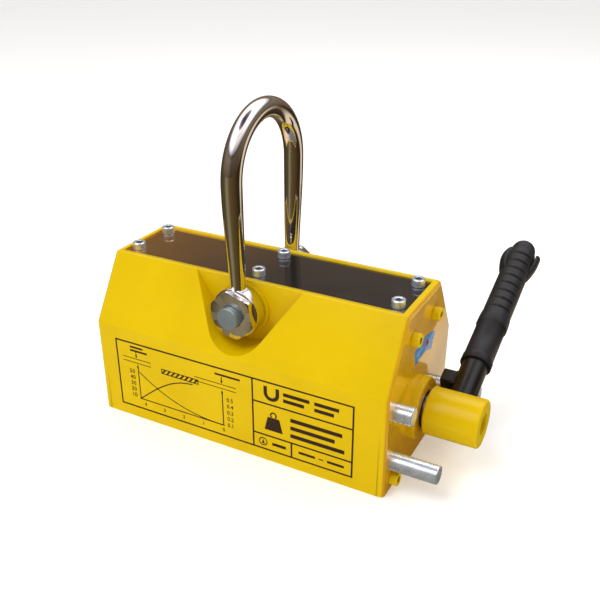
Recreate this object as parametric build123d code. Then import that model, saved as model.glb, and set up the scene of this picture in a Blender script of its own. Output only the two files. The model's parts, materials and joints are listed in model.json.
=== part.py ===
from build123d import *

import os
from math import cos, radians, sin, sqrt, tan

# Permanent lifting magnet: a steel housing with a rotor of magnets that a hand lever turns.
# Frame: origin in the middle of the pole face, +X to the lever end, +Y to the back, +Z up.

# How far a cutting shape reaches past the face that it cuts, in millimetres
CUT_MARGIN = 4.0

# Driving dimensions of the housing
BODY_LENGTH = 258.0
BODY_HALF_WIDTH = 66.0
BODY_HEIGHT = 135.0
SLOPE_HEIGHT = 51.5
TOP_HALF_WIDTH = 34.0
END_PLATE_THICKNESS = 6.0
CREASE_RADIUS = 4.0
RIM_RADIUS = 1.2
END_EDGE_RADIUS = 3.5

# Top plate and its recess between the rims
RIM_WALL = 4.0
RECESS_DEPTH = 4.0
TOP_PLATE_THICKNESS = 2.6
TOP_PLATE_GAP = 0.15
TOP_SCREW_END_INSET = 14.0
TOP_SCREW_RIM_INSET = 10.0

# Rotor, its bore and the magnets
ROTOR_RADIUS = 33.5
ROTOR_AIR_GAP = 0.5
BORE_ABOVE_STRIP = 1.5
ROTOR_MAGNET_SHARE = 0.358
ROTOR_MAGNET_COVER = 5.3
ROTOR_MAGNET_COUNT = 4
ROTOR_FLANGE_THICKNESS = 8.0
THRUST_WASHER_THICKNESS = 2.4
THRUST_GAP = 0.2
THRUST_WASHER_RADIUS = 21.0
SMALL_GAP = 0.2
POLE_GAP_HALF = 12.0
STATOR_SLOT_HALF = 14.0
BASE_STRIP_THICKNESS = 6.0
SPACER_STRIP_THICKNESS = 3.5
STATOR_MAGNET_COUNT = 5
STATOR_MAGNET_ROWS = 2

# Shaft, bushes and seal
SHAFT_RADIUS = 12.0
RUNNING_FIT = 0.05
BUSH_WALL = 3.0
BOSS_RADIUS = 25.0
BOSS_HEIGHT = 6.0
SEAL_THICKNESS = 2.4
BLIND_SHAFT_GAP = 1.0
DUST_CAP_RADIUS = 19.0
DUST_CAP_THICKNESS = 2.5
DUST_CAP_LIP = 3.0

# Hub and lever
HUB_RADIUS = 19.0
HUB_GAP = 3.0
HUB_LENGTH = 42.5
HUB_END_WALL = 8.5
HUB_END_BORE_RADIUS = 8.8
HUB_CHAMFER = 1.2
KEY_WIDTH = 6.0
KEY_LENGTH = 24.0
LEVER_FROM_HUB_START = 19.5
LEVER_REST_ANGLE = 69.0
LEVER_TUBE_RADIUS = 10.5
LEVER_TUBE_WALL = 2.5
LEVER_SEAT_DEPTH = 4.5
LEVER_LENGTH = 202.0
GRIP_START = 52.0
GRIP_SLEEVE_START = 60.0
GRIP_RIDGE_START = 94.0
GRIP_GUARD_START = 161.0
GRIP_GUARD_END = 187.0
GRIP_COLLAR_WALL = 3.3
GRIP_SLEEVE_WALL = 2.3
GRIP_RIDGE_WALL = 3.3
GRIP_GUARD_WALL = 6.1
GRIP_TIP_WALL = 0.5
GRIP_BORE_GAP = 0.02

# Safety catch on the lever
CATCH_TRAVEL = 10.0
CATCH_START = 28.0
CATCH_LENGTH = 13.0
CATCH_REACH = 10.5
CATCH_LOWER_REACH = 11.2
CATCH_UPPER_REACH = 3.5
CATCH_GAP = 0.4
CATCH_CORNER = 2.0
CATCH_NECK_WIDTH = 6.0
CATCH_SLIDER_LENGTH = 26.0
CATCH_SLIDER_GAP = 0.3
DETENT_BALL_RADIUS = 2.0
DETENT_SPRING_LENGTH = 6.0
DETENT_WIRE = 0.6
DETENT_TURNS = 3

# Pins on the lever end: where each axis is and how far each stands out
PIN_RADIUS = 7.0
PIN_SEAT = 12.0
PIN_CHAMFER = 1.0
OFF_PIN_FROM_BORE = 9.0
OFF_PIN_BELOW_AXIS = 3.3
LOCK_PIN_SIDE_INSET = 17.0
LOCK_PIN_ABOVE_AXIS = 24.0
ON_PIN_SIDE_INSET = 14.5
ON_PIN_BELOW_AXIS = 17.0
LONG_PIN_LENGTH = 36.0
SHORT_PIN_LENGTH = 13.5

# End plate screws: insets of the two upper and the two lower ones from the housing's outline
UPPER_END_SCREW_INSETS = ((10.0, 22.0), (14.0, 21.0))
LOWER_END_SCREW_SIDE_INSET = 14.5
LOWER_END_SCREW_Z = 9.5

# Cap screws: M6 in the plates and the rotor, M8 in the hub
PLATE_SCREW_HEAD_RADIUS = 5.2
PLATE_SCREW_HEAD_HEIGHT = 6.2
END_SCREW_LENGTH = 22.0
M8_RADIUS = 4.0
M8_HEAD_RADIUS = 6.5
M8_HEX = 6.0
M8_LENGTH = 24.0
TOP_SCREW_LENGTH = 14.0
SCREW_HOLE_GAP = 0.3
M6_RADIUS = 3.0
M6_HEAD_RADIUS = 5.0
M6_HEAD_HEIGHT = 5.0
M6_HEX = 5.0
M6_LENGTH = 22.0
SCREW_SOCKET_DEPTH = 4.0
SCREW_HEAD_CHAMFER = 0.6
HUB_SCREW_HEAD_HEIGHT = 4.8
ROTOR_SCREW_RIM_INSET = 10.5
ROTOR_SCREW_ANGLES = (35.0, 145.0, 215.0, 325.0)

# Shackle, its pivots and the pockets around them
PIVOT_X = -5.0
PIVOT_BELOW_TOP = 23.0
POCKET_FROM_PIVOT = 4.0
POCKET_AROUND_EYE = 7.0
POCKET_FLARE = 33.0
PAD_AROUND_EYE = 2.0
PAD_HEIGHT = 2.0
EYE_GAP = 0.4
EYE_THICKNESS = 12.0
EYE_RADIUS = 20.0
EYE_EDGE = 1.2
LEG_NECK_RADIUS = 5.8
LEG_NECK_ABOVE_PIVOT = 22.0
PIVOT_FIT = 0.1
BOW_ROD_RADIUS = 7.9
BOW_HALF_WIDTH = 46.0
BOW_ABOVE_PIVOT = 100.0
NUT_ACROSS_FLATS = 35.0
NUT_THICKNESS = 5.5
NUT_GAP = 0.3
NUT_TURN = 42.0
NUT_BEVEL = 1.6
STUD_RADIUS = 8.7
STUD_STAND_OUT = 6.0
STUD_SEAT = 10.0
STUD_CHAMFER = 0.8

# Labels
LABEL_THICKNESS = 0.3
RATING_LABEL_LEFT_INSET = 18.0
RATING_LABEL_RIGHT_INSET = 25.0
RATING_LABEL_Z_START = 9.5
RATING_LABEL_TOP_INSET = 11.0
ARC_LABEL_INNER = 46.0
ARC_LABEL_WIDTH = 14.0
ARC_LABEL_ANGLES = (64.0, 108.0)

# Lengths worked out from the sizes above
PLATE_X = BODY_LENGTH / 2
BLOCK_X = PLATE_X - END_PLATE_THICKNESS
FLANGE_X = BLOCK_X - THRUST_WASHER_THICKNESS - 2 * THRUST_GAP
SEGMENT_X = FLANGE_X - ROTOR_FLANGE_THICKNESS
BOSS_X = PLATE_X + BOSS_HEIGHT
HUB_START = BOSS_X + HUB_GAP
HUB_END = HUB_START + HUB_LENGTH
HUB_BORE_DEPTH = HUB_LENGTH - HUB_END_WALL
SHAFT_END = HUB_START + HUB_BORE_DEPTH - BLIND_SHAFT_GAP
CREASE_HEIGHT = BODY_HEIGHT - SLOPE_HEIGHT
RECESS_Z = BODY_HEIGHT - RECESS_DEPTH
BORE_RADIUS = ROTOR_RADIUS + ROTOR_AIR_GAP
ROTOR_AXIS_Z = BASE_STRIP_THICKNESS + BORE_ABOVE_STRIP + BORE_RADIUS
ROTOR_MAGNET_HALF = ROTOR_RADIUS * ROTOR_MAGNET_SHARE
ROTOR_MAGNET_REACH = sqrt(ROTOR_RADIUS**2 - ROTOR_MAGNET_HALF**2) - ROTOR_MAGNET_COVER
ROTOR_SCREW_CIRCLE = ROTOR_RADIUS - ROTOR_SCREW_RIM_INSET
OFF_PIN_YZ = (BORE_RADIUS + OFF_PIN_FROM_BORE, ROTOR_AXIS_Z - OFF_PIN_BELOW_AXIS)
LOCK_PIN_YZ = (LOCK_PIN_SIDE_INSET - BODY_HALF_WIDTH, ROTOR_AXIS_Z + LOCK_PIN_ABOVE_AXIS)
ON_PIN_YZ = (ON_PIN_SIDE_INSET - BODY_HALF_WIDTH, ROTOR_AXIS_Z - ON_PIN_BELOW_AXIS)
SPACER_Z = ROTOR_AXIS_Z + BORE_RADIUS
BUSH_RADIUS = SHAFT_RADIUS + BUSH_WALL
TUBE_BORE = LEVER_TUBE_RADIUS - LEVER_TUBE_WALL
TUBE_START = HUB_RADIUS - LEVER_SEAT_DEPTH
LEVER_X = HUB_START + LEVER_FROM_HUB_START
GRIP_COLLAR_RADIUS = LEVER_TUBE_RADIUS + GRIP_COLLAR_WALL
GRIP_SLEEVE_RADIUS = LEVER_TUBE_RADIUS + GRIP_SLEEVE_WALL
GRIP_RIDGE_RADIUS = LEVER_TUBE_RADIUS + GRIP_RIDGE_WALL
GRIP_GUARD_RADIUS = LEVER_TUBE_RADIUS + GRIP_GUARD_WALL
GRIP_TIP_RADIUS = LEVER_TUBE_RADIUS + GRIP_TIP_WALL
PAD_Y = TOP_HALF_WIDTH + PAD_HEIGHT
EYE_INNER_Y = PAD_Y + EYE_GAP
EYE_OUTER_Y = EYE_INNER_Y + EYE_THICKNESS
EYE_MIDDLE_Y = (EYE_INNER_Y + EYE_OUTER_Y) / 2
NUT_INNER_Y = EYE_OUTER_Y + NUT_GAP
NUT_OUTER_Y = NUT_INNER_Y + NUT_THICKNESS
PIVOT_Z = BODY_HEIGHT - PIVOT_BELOW_TOP
POCKET_RADIUS = EYE_RADIUS + POCKET_AROUND_EYE
PAD_RADIUS = EYE_RADIUS + PAD_AROUND_EYE
POCKET_X = PIVOT_X + POCKET_FROM_PIVOT
BOW_CENTRE_Z = PIVOT_Z + BOW_ABOVE_PIVOT
LEG_NECK_TOP = PIVOT_Z + LEG_NECK_ABOVE_PIVOT
NUT_CORNER_RADIUS = NUT_ACROSS_FLATS / 2 / cos(radians(30.0))
TOP_SCREW_X = PLATE_X - TOP_SCREW_END_INSET
TOP_SCREW_Y = TOP_HALF_WIDTH - RIM_WALL - TOP_SCREW_RIM_INSET
LOWER_END_SCREW_Y = BODY_HALF_WIDTH - LOWER_END_SCREW_SIDE_INSET
UPPER_END_SCREWS_YZ = [
    (side * (TOP_HALF_WIDTH - inset_y), BODY_HEIGHT - inset_z)
    for side, (inset_y, inset_z) in zip((-1, 1), UPPER_END_SCREW_INSETS)
]
LOWER_END_SCREWS_YZ = [(side * LOWER_END_SCREW_Y, LOWER_END_SCREW_Z) for side in (-1, 1)]
END_SCREWS_YZ = UPPER_END_SCREWS_YZ + LOWER_END_SCREWS_YZ


def rod_x(radius, x_start, x_end, y=0.0, z=0.0):
    """A round bar along X."""
    middle = (x_start + x_end) / 2
    return Pos(middle, y, z) * Rot(0, 90, 0) * Cylinder(radius, abs(x_end - x_start))


def rod_y(radius, y_start, y_end, x=0.0, z=0.0):
    """A round bar along Y."""
    middle = (y_start + y_end) / 2
    return Pos(x, middle, z) * Rot(90, 0, 0) * Cylinder(radius, abs(y_end - y_start))


def block(x_range, y_range, z_range):
    """A rectangular block between pairs of limits."""
    sizes = [high - low for low, high in (x_range, y_range, z_range)]
    middles = [(high + low) / 2 for low, high in (x_range, y_range, z_range)]
    return Pos(*middles) * Box(*sizes)


def on_lever(shape):
    """Move a shape drawn along +Z about the hub axis onto the lever at rest."""
    return Pos(LEVER_X, 0, ROTOR_AXIS_Z) * Rot(-LEVER_REST_ANGLE, 0, 0) * shape


def cap_screw(radius, length, head_radius, head_height, hex_size):
    """A socket cap screw along +Z with its seat at the origin and the head above."""
    head = Pos(0, 0, head_height / 2) * Cylinder(head_radius, head_height)
    head = chamfer(head.edges().filter_by(GeomType.CIRCLE).group_by(Axis.Z)[-1], SCREW_HEAD_CHAMFER)
    socket = extrude(RegularPolygon(hex_size / 2, 6, major_radius=False), SCREW_SOCKET_DEPTH)
    shank = Pos(0, 0, -length / 2) * Cylinder(radius, length)
    return head + shank - Pos(0, 0, head_height - SCREW_SOCKET_DEPTH) * socket


def plate_screw(length):
    """An M6 socket cap screw with a full head, along +Z."""
    return cap_screw(M6_RADIUS, length, PLATE_SCREW_HEAD_RADIUS, PLATE_SCREW_HEAD_HEIGHT, M6_HEX)


def low_screw():
    """An M6 socket cap screw with a low head, along +Z."""
    return cap_screw(M6_RADIUS, M6_LENGTH, M6_HEAD_RADIUS, M6_HEAD_HEIGHT, M6_HEX)


def body_outline():
    """The whole housing's outline across X, drawn in the YZ plane."""
    corners = [
        (-BODY_HALF_WIDTH, 0),
        (BODY_HALF_WIDTH, 0),
        (BODY_HALF_WIDTH, CREASE_HEIGHT),
        (TOP_HALF_WIDTH, BODY_HEIGHT),
        (-TOP_HALF_WIDTH, BODY_HEIGHT),
        (-BODY_HALF_WIDTH, CREASE_HEIGHT),
    ]
    outline = make_face(Polyline(*corners, close=True))
    creases = [v for v in outline.vertices() if abs(v.Y - CREASE_HEIGHT) < RIM_RADIUS]
    outline = fillet(creases, CREASE_RADIUS)
    rims = [v for v in outline.vertices() if v.Y > BODY_HEIGHT - RIM_RADIUS]
    return fillet(rims, RIM_RADIUS)


def body_prism(x_start, x_end):
    """The housing's outline drawn out between two X positions."""
    return extrude(Plane.YZ.offset(x_start) * body_outline(), x_end - x_start)


def pocket_cut(side):
    """The flared pocket around one shackle pivot, leaving the round pad."""
    flare = radians(POCKET_FLARE)
    touch_x = POCKET_RADIUS * cos(flare)
    touch_z = PIVOT_Z - POCKET_RADIUS * sin(flare)
    top_z = BODY_HEIGHT + PAD_HEIGHT
    top_x = touch_x + (top_z - touch_z) * tan(flare)
    low = (POCKET_X, PIVOT_Z - POCKET_RADIUS)
    left = (POCKET_X - touch_x, touch_z)
    right = (POCKET_X + touch_x, touch_z)
    path = ThreePointArc(left, low, right)
    path += Polyline(right, (POCKET_X + top_x, top_z), (POCKET_X - top_x, top_z), left)
    depth = BODY_HALF_WIDTH - TOP_HALF_WIDTH + PAD_HEIGHT
    cut = extrude(Plane.XZ.offset(TOP_HALF_WIDTH) * make_face(path), depth)
    cut -= rod_y(PAD_RADIUS, -TOP_HALF_WIDTH, -PAD_Y, PIVOT_X, PIVOT_Z)
    return cut if side < 0 else mirror(cut, Plane.XZ)


def end_screw_holes(x_start, x_end, gap):
    """Holes for the end plate screws between two X positions."""
    return [rod_x(M6_RADIUS + gap, x_start, x_end, y, z) for y, z in END_SCREWS_YZ]


def top_screw_spots():
    """The (x, y) of the six top plate screws."""
    return [(x, y) for x in (-TOP_SCREW_X, 0.0, TOP_SCREW_X) for y in (-TOP_SCREW_Y, TOP_SCREW_Y)]


def pole_block(side):
    """One steel pole block: half of the housing between the end plates."""
    solid = body_prism(-BLOCK_X, BLOCK_X)
    far = BODY_HALF_WIDTH + CUT_MARGIN
    length = (-PLATE_X, PLATE_X)
    inner = sorted((side * POLE_GAP_HALF, -side * far))
    slot = sorted((side * STATOR_SLOT_HALF, -side * far))
    recess = TOP_HALF_WIDTH - RIM_WALL
    solid -= block(length, inner, (-CUT_MARGIN, BODY_HEIGHT + CUT_MARGIN))
    solid -= block(length, slot, (ROTOR_AXIS_Z, BODY_HEIGHT + CUT_MARGIN))
    solid -= block(length, (-recess, recess), (RECESS_Z, BODY_HEIGHT + CUT_MARGIN))
    solid -= rod_x(BORE_RADIUS, -PLATE_X, PLATE_X, 0, ROTOR_AXIS_Z)
    solid -= pocket_cut(side)
    stud_start = side * (PAD_Y - STUD_SEAT)
    solid -= rod_y(STUD_RADIUS, stud_start, side * far, PIVOT_X, PIVOT_Z)
    for x, y in top_screw_spots():
        if y * side > 0:
            depth = TOP_SCREW_LENGTH - TOP_PLATE_THICKNESS + SCREW_HOLE_GAP
            solid -= Pos(x, y, RECESS_Z - depth / 2) * Cylinder(M6_RADIUS, depth)
    for end in (-1, 1):
        depth = END_SCREW_LENGTH - END_PLATE_THICKNESS + SCREW_HOLE_GAP
        for hole in end_screw_holes(end * BLOCK_X, end * (BLOCK_X - depth), 0.0):
            solid -= hole
    for y, z in (OFF_PIN_YZ, LOCK_PIN_YZ, ON_PIN_YZ):
        if y * side > 0:
            solid -= rod_x(PIN_RADIUS, BLOCK_X - PIN_SEAT + END_PLATE_THICKNESS, PLATE_X, y, z)
    return solid


def end_plate(end):
    """The plate that closes one end, with its bearing boss."""
    solid = body_prism(BLOCK_X, PLATE_X)
    face = solid.faces().sort_by(Axis.X)[-1]
    edges = [e for e in face.edges() if e.center().Z > END_EDGE_RADIUS]
    solid = fillet(edges, END_EDGE_RADIUS)
    boss = rod_x(BOSS_RADIUS, PLATE_X, BOSS_X, 0, ROTOR_AXIS_Z)
    rim = boss.edges().filter_by(GeomType.CIRCLE).sort_by(Axis.X)[-1]
    solid += chamfer(rim, PIN_CHAMFER)
    solid -= rod_x(BUSH_RADIUS, BLOCK_X - CUT_MARGIN, BOSS_X + CUT_MARGIN, 0, ROTOR_AXIS_Z)
    for hole in end_screw_holes(BLOCK_X - CUT_MARGIN, PLATE_X + CUT_MARGIN, SCREW_HOLE_GAP):
        solid -= hole
    if end < 0:
        return mirror(solid, Plane.YZ)
    for y, z in (OFF_PIN_YZ, LOCK_PIN_YZ, ON_PIN_YZ):
        solid -= rod_x(PIN_RADIUS, BLOCK_X - CUT_MARGIN, PLATE_X + CUT_MARGIN, y, z)
    return solid


def end_plate_screws(end):
    """The four screws of one end plate."""
    screw = Rot(0, end * 90, 0) * plate_screw(END_SCREW_LENGTH)
    return [Pos(end * PLATE_X, y, z) * screw for y, z in END_SCREWS_YZ]


def base_strip():
    """The non-magnetic strip between the two pole faces."""
    return block((-BLOCK_X, BLOCK_X), (-POLE_GAP_HALF, POLE_GAP_HALF), (0, BASE_STRIP_THICKNESS))


def spacer_strip():
    """The non-magnetic strip between the rotor bore and the stator magnets."""
    top = SPACER_Z + SPACER_STRIP_THICKNESS
    return block((-BLOCK_X, BLOCK_X), (-STATOR_SLOT_HALF, STATOR_SLOT_HALF), (SPACER_Z, top))


def stator_magnets():
    """Rows of block magnets in the slot above the rotor."""
    pitch_x = 2 * BLOCK_X / STATOR_MAGNET_COUNT
    low = SPACER_Z + SPACER_STRIP_THICKNESS
    pitch_z = (RECESS_Z - low) / STATOR_MAGNET_ROWS
    y_range = (-STATOR_SLOT_HALF, STATOR_SLOT_HALF)
    magnets = []
    for row in range(STATOR_MAGNET_ROWS):
        for column in range(STATOR_MAGNET_COUNT):
            x = -BLOCK_X + column * pitch_x
            z = low + row * pitch_z
            x_range = (x + SMALL_GAP / 2, x + pitch_x - SMALL_GAP / 2)
            magnets.append(block(x_range, y_range, (z, z + pitch_z - SMALL_GAP)))
    return magnets


def top_plate():
    """The polished plate that covers the stator magnets."""
    half_x = BLOCK_X - TOP_PLATE_GAP
    half_y = TOP_HALF_WIDTH - RIM_WALL - TOP_PLATE_GAP
    solid = block((-half_x, half_x), (-half_y, half_y), (RECESS_Z, RECESS_Z + TOP_PLATE_THICKNESS))
    depth = 2 * TOP_PLATE_THICKNESS + CUT_MARGIN
    for x, y in top_screw_spots():
        solid -= Pos(x, y, RECESS_Z) * Cylinder(M6_RADIUS + SCREW_HOLE_GAP, depth)
    return solid


def top_plate_screws():
    """The six screws that hold the top plate."""
    seat = RECESS_Z + TOP_PLATE_THICKNESS
    return [Pos(x, y, seat) * plate_screw(TOP_SCREW_LENGTH) for x, y in top_screw_spots()]


def rotor_segment(side):
    """One steel pole segment of the rotor."""
    solid = rod_x(ROTOR_RADIUS, -SEGMENT_X, SEGMENT_X, 0, ROTOR_AXIS_Z)
    reach = sorted((side * ROTOR_MAGNET_HALF, -side * (ROTOR_RADIUS + CUT_MARGIN)))
    solid -= block((-PLATE_X, PLATE_X), reach, (0, BODY_HEIGHT))
    depth = M6_LENGTH - ROTOR_FLANGE_THICKNESS + M6_HEAD_HEIGHT + SCREW_HOLE_GAP
    for end, y, z in rotor_screw_spots():
        if y * side > 0:
            solid -= rod_x(M6_RADIUS, end * SEGMENT_X, end * (SEGMENT_X - depth), y, z)
    return solid


def rotor_magnets():
    """The magnet blocks between the two rotor segments."""
    pitch = 2 * SEGMENT_X / ROTOR_MAGNET_COUNT
    z_range = (ROTOR_AXIS_Z - ROTOR_MAGNET_REACH, ROTOR_AXIS_Z + ROTOR_MAGNET_REACH)
    magnets = []
    for number in range(ROTOR_MAGNET_COUNT):
        x = -SEGMENT_X + number * pitch
        x_range = (x + SMALL_GAP / 2, x + pitch - SMALL_GAP / 2)
        y_range = (-ROTOR_MAGNET_HALF, ROTOR_MAGNET_HALF)
        magnets.append(block(x_range, y_range, z_range))
    return magnets


def rotor_screw_spots():
    """End, y and z of each rotor flange screw."""
    spots = []
    for end in (-1, 1):
        for angle in ROTOR_SCREW_ANGLES:
            y, z = polar(ROTOR_SCREW_CIRCLE, angle)
            spots.append((end, y, ROTOR_AXIS_Z + z))
    return spots


def rotor_screws():
    """The screws that hold both flanges to the rotor segments."""
    screws = []
    for end, y, z in rotor_screw_spots():
        seat = end * (FLANGE_X - M6_HEAD_HEIGHT - SMALL_GAP)
        screws.append(Pos(seat, y, z) * Rot(0, end * 90, 0) * low_screw())
    return screws


def shaft_flange(end, shaft_end):
    """The end flange of the rotor with its shaft stub."""
    solid = rod_x(ROTOR_RADIUS, SEGMENT_X, FLANGE_X, 0, ROTOR_AXIS_Z)
    solid += rod_x(SHAFT_RADIUS, FLANGE_X, shaft_end, 0, ROTOR_AXIS_Z)
    for side, y, z in rotor_screw_spots():
        if side > 0:
            solid -= rod_x(M6_RADIUS, SEGMENT_X - CUT_MARGIN, PLATE_X, y, z)
            seat = FLANGE_X - M6_HEAD_HEIGHT - SMALL_GAP
            solid -= rod_x(M6_HEAD_RADIUS + SMALL_GAP, seat, FLANGE_X + SMALL_GAP, y, z)
    if end < 0:
        return mirror(solid, Plane.YZ)
    return solid


def key_range():
    """Start and end of the hub key along X."""
    middle = HUB_START + HUB_BORE_DEPTH / 2
    return (middle - KEY_LENGTH / 2, middle + KEY_LENGTH / 2)


def key_solid():
    """The key between the shaft and the hub, on the side away from the lever."""
    low = ROTOR_AXIS_Z - SHAFT_RADIUS - KEY_WIDTH / 2
    return block(key_range(), (-KEY_WIDTH / 2, KEY_WIDTH / 2), (low, low + KEY_WIDTH))


def drive_shaft_flange():
    """The lever end flange: its shaft runs through the end plate into the hub."""
    solid = shaft_flange(1, SHAFT_END) - key_solid()
    depth = M8_LENGTH + SCREW_HOLE_GAP
    return solid - rod_x(M8_RADIUS, SHAFT_END - depth, SHAFT_END, 0, ROTOR_AXIS_Z)


def thrust_washer(end):
    """The washer between a rotor flange and its end plate."""
    x_start = BLOCK_X - THRUST_GAP - THRUST_WASHER_THICKNESS
    ring = rod_x(THRUST_WASHER_RADIUS, x_start, x_start + THRUST_WASHER_THICKNESS, 0, ROTOR_AXIS_Z)
    ring -= rod_x(SHAFT_RADIUS + SMALL_GAP, 0, PLATE_X, 0, ROTOR_AXIS_Z)
    return mirror(ring, Plane.YZ) if end < 0 else ring


def shaft_bush(end):
    """The bronze bush in one end plate."""
    x_end = BOSS_X - (SEAL_THICKNESS if end > 0 else DUST_CAP_LIP)
    ring = rod_x(BUSH_RADIUS, BLOCK_X, x_end, 0, ROTOR_AXIS_Z)
    ring -= rod_x(SHAFT_RADIUS + RUNNING_FIT, 0, HUB_END, 0, ROTOR_AXIS_Z)
    return mirror(ring, Plane.YZ) if end < 0 else ring


def shaft_seal():
    """The sealing ring outside the lever end bush."""
    ring = rod_x(BUSH_RADIUS, BOSS_X - SEAL_THICKNESS, BOSS_X, 0, ROTOR_AXIS_Z)
    return ring - rod_x(SHAFT_RADIUS + RUNNING_FIT, 0, HUB_END, 0, ROTOR_AXIS_Z)


def dust_cap():
    """The pressed cap over the blind bearing boss."""
    cap = rod_x(DUST_CAP_RADIUS, -BOSS_X - DUST_CAP_THICKNESS, -BOSS_X, 0, ROTOR_AXIS_Z)
    edge = cap.edges().filter_by(GeomType.CIRCLE).sort_by(Axis.X)[0]
    cap = chamfer(edge, PIN_CHAMFER)
    return cap + rod_x(BUSH_RADIUS, -BOSS_X, DUST_CAP_LIP - BOSS_X, 0, ROTOR_AXIS_Z)


def stop_pin(place, length):
    """A chromed stop pin pressed into the lever end."""
    y, z = place
    pin = rod_x(PIN_RADIUS, BLOCK_X - PIN_SEAT + END_PLATE_THICKNESS, PLATE_X + length, y, z)
    edge = pin.edges().filter_by(GeomType.CIRCLE).sort_by(Axis.X)[-1]
    return chamfer(edge, PIN_CHAMFER)


def lever_hub():
    """The hub on the drive shaft, with the lever's seat."""
    hub = rod_x(HUB_RADIUS, HUB_START, HUB_END, 0, ROTOR_AXIS_Z)
    hub = chamfer(hub.edges().filter_by(GeomType.CIRCLE), HUB_CHAMFER)
    hub -= rod_x(SHAFT_RADIUS, HUB_START, HUB_START + HUB_BORE_DEPTH, 0, ROTOR_AXIS_Z)
    hub -= rod_x(HUB_END_BORE_RADIUS, HUB_START + HUB_BORE_DEPTH, HUB_END, 0, ROTOR_AXIS_Z)
    hub -= key_solid()
    seat = Pos(0, 0, TUBE_START + HUB_RADIUS / 2) * Cylinder(LEVER_TUBE_RADIUS, HUB_RADIUS)
    return hub - on_lever(seat)


def hub_screw():
    """The screw in the end of the hub that pulls it onto the shaft."""
    screw = cap_screw(M8_RADIUS, M8_LENGTH, M8_HEAD_RADIUS, HUB_SCREW_HEAD_HEIGHT, M8_HEX)
    return Pos(SHAFT_END, 0, ROTOR_AXIS_Z) * Rot(0, 90, 0) * screw


def lever_tube():
    """The steel tube of the lever, slotted for the safety catch."""
    top = LEVER_LENGTH - GRIP_TIP_RADIUS
    length = top - TUBE_START
    tube = Pos(0, 0, TUBE_START + length / 2) * Cylinder(LEVER_TUBE_RADIUS, length)
    bore_start = CATCH_START - CATCH_SLIDER_LENGTH / 2
    bore_length = top - bore_start
    tube -= Pos(0, 0, bore_start + bore_length / 2) * Cylinder(TUBE_BORE, bore_length)
    slot_half = CATCH_NECK_WIDTH / 2 + CATCH_GAP
    slot_z = (CATCH_START - CATCH_GAP, CATCH_START + CATCH_LENGTH + CATCH_TRAVEL + CATCH_GAP)
    tube -= block((-LEVER_TUBE_RADIUS - CATCH_GAP, 0), (-slot_half, slot_half), slot_z)
    return on_lever(tube)


def lever_grip():
    """The rubber grip pushed over the tube, with its guard collar and closed tip."""
    bore = LEVER_TUBE_RADIUS + GRIP_BORE_GAP
    inner_top = LEVER_LENGTH - GRIP_TIP_RADIUS + GRIP_BORE_GAP
    tip_base = LEVER_LENGTH - GRIP_TIP_RADIUS
    outline = Polyline(
        (bore, GRIP_START),
        (GRIP_COLLAR_RADIUS, GRIP_START),
        (GRIP_COLLAR_RADIUS, GRIP_SLEEVE_START),
        (GRIP_SLEEVE_RADIUS, GRIP_SLEEVE_START),
        (GRIP_SLEEVE_RADIUS, GRIP_RIDGE_START),
        (GRIP_RIDGE_RADIUS, GRIP_RIDGE_START),
        (GRIP_RIDGE_RADIUS, GRIP_GUARD_START),
        (GRIP_GUARD_RADIUS, GRIP_GUARD_START + (GRIP_GUARD_RADIUS - GRIP_RIDGE_RADIUS)),
        (GRIP_GUARD_RADIUS, GRIP_GUARD_END),
        (GRIP_TIP_RADIUS, tip_base),
    )
    dome = CenterArc((0, tip_base), GRIP_TIP_RADIUS, 0, 90)
    back = Polyline((0, LEVER_LENGTH), (0, inner_top), (bore, inner_top), (bore, GRIP_START))
    profile = Plane.XZ * make_face(outline + dome + back)
    return on_lever(revolve(profile, Axis.Z))


def catch_nose():
    """The black catch block beside the lever tube."""
    inner_x = -LEVER_TUBE_RADIUS - CATCH_GAP
    z_range = (CATCH_START, CATCH_START + CATCH_LENGTH)
    nose = block((inner_x - CATCH_REACH, inner_x), (-CATCH_UPPER_REACH, CATCH_LOWER_REACH), z_range)
    nose = fillet(nose.edges().filter_by(Axis.X), CATCH_CORNER)
    nose = chamfer(nose.faces().sort_by(Axis.X)[0].edges(), PIN_CHAMFER)
    return on_lever(nose)


def catch_slider():
    """The slider inside the lever tube, with the neck that carries the nose."""
    middle = CATCH_START + CATCH_LENGTH / 2
    radius = TUBE_BORE - CATCH_SLIDER_GAP
    slider = Pos(0, 0, middle) * Cylinder(radius, CATCH_SLIDER_LENGTH - 2 * CATCH_GAP)
    neck_half = CATCH_NECK_WIDTH / 2
    neck_z = (CATCH_START, CATCH_START + CATCH_LENGTH)
    slider += block((-LEVER_TUBE_RADIUS - CATCH_GAP, 0), (-neck_half, neck_half), neck_z)
    slider -= detent_hole(middle)
    return on_lever(slider)


def detent_hole(middle):
    """The hole in the slider for the detent ball and its spring."""
    length = DETENT_BALL_RADIUS + DETENT_SPRING_LENGTH
    radius = DETENT_BALL_RADIUS + CATCH_SLIDER_GAP
    return Pos(TUBE_BORE - length / 2, 0, middle) * Rot(0, 90, 0) * Cylinder(radius, length)


def detent_ball():
    """The ball that holds the catch at either end of its travel."""
    middle = CATCH_START + CATCH_LENGTH / 2
    centre = TUBE_BORE - DETENT_BALL_RADIUS - RUNNING_FIT
    return on_lever(Pos(centre, 0, middle) * Sphere(DETENT_BALL_RADIUS))


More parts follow.
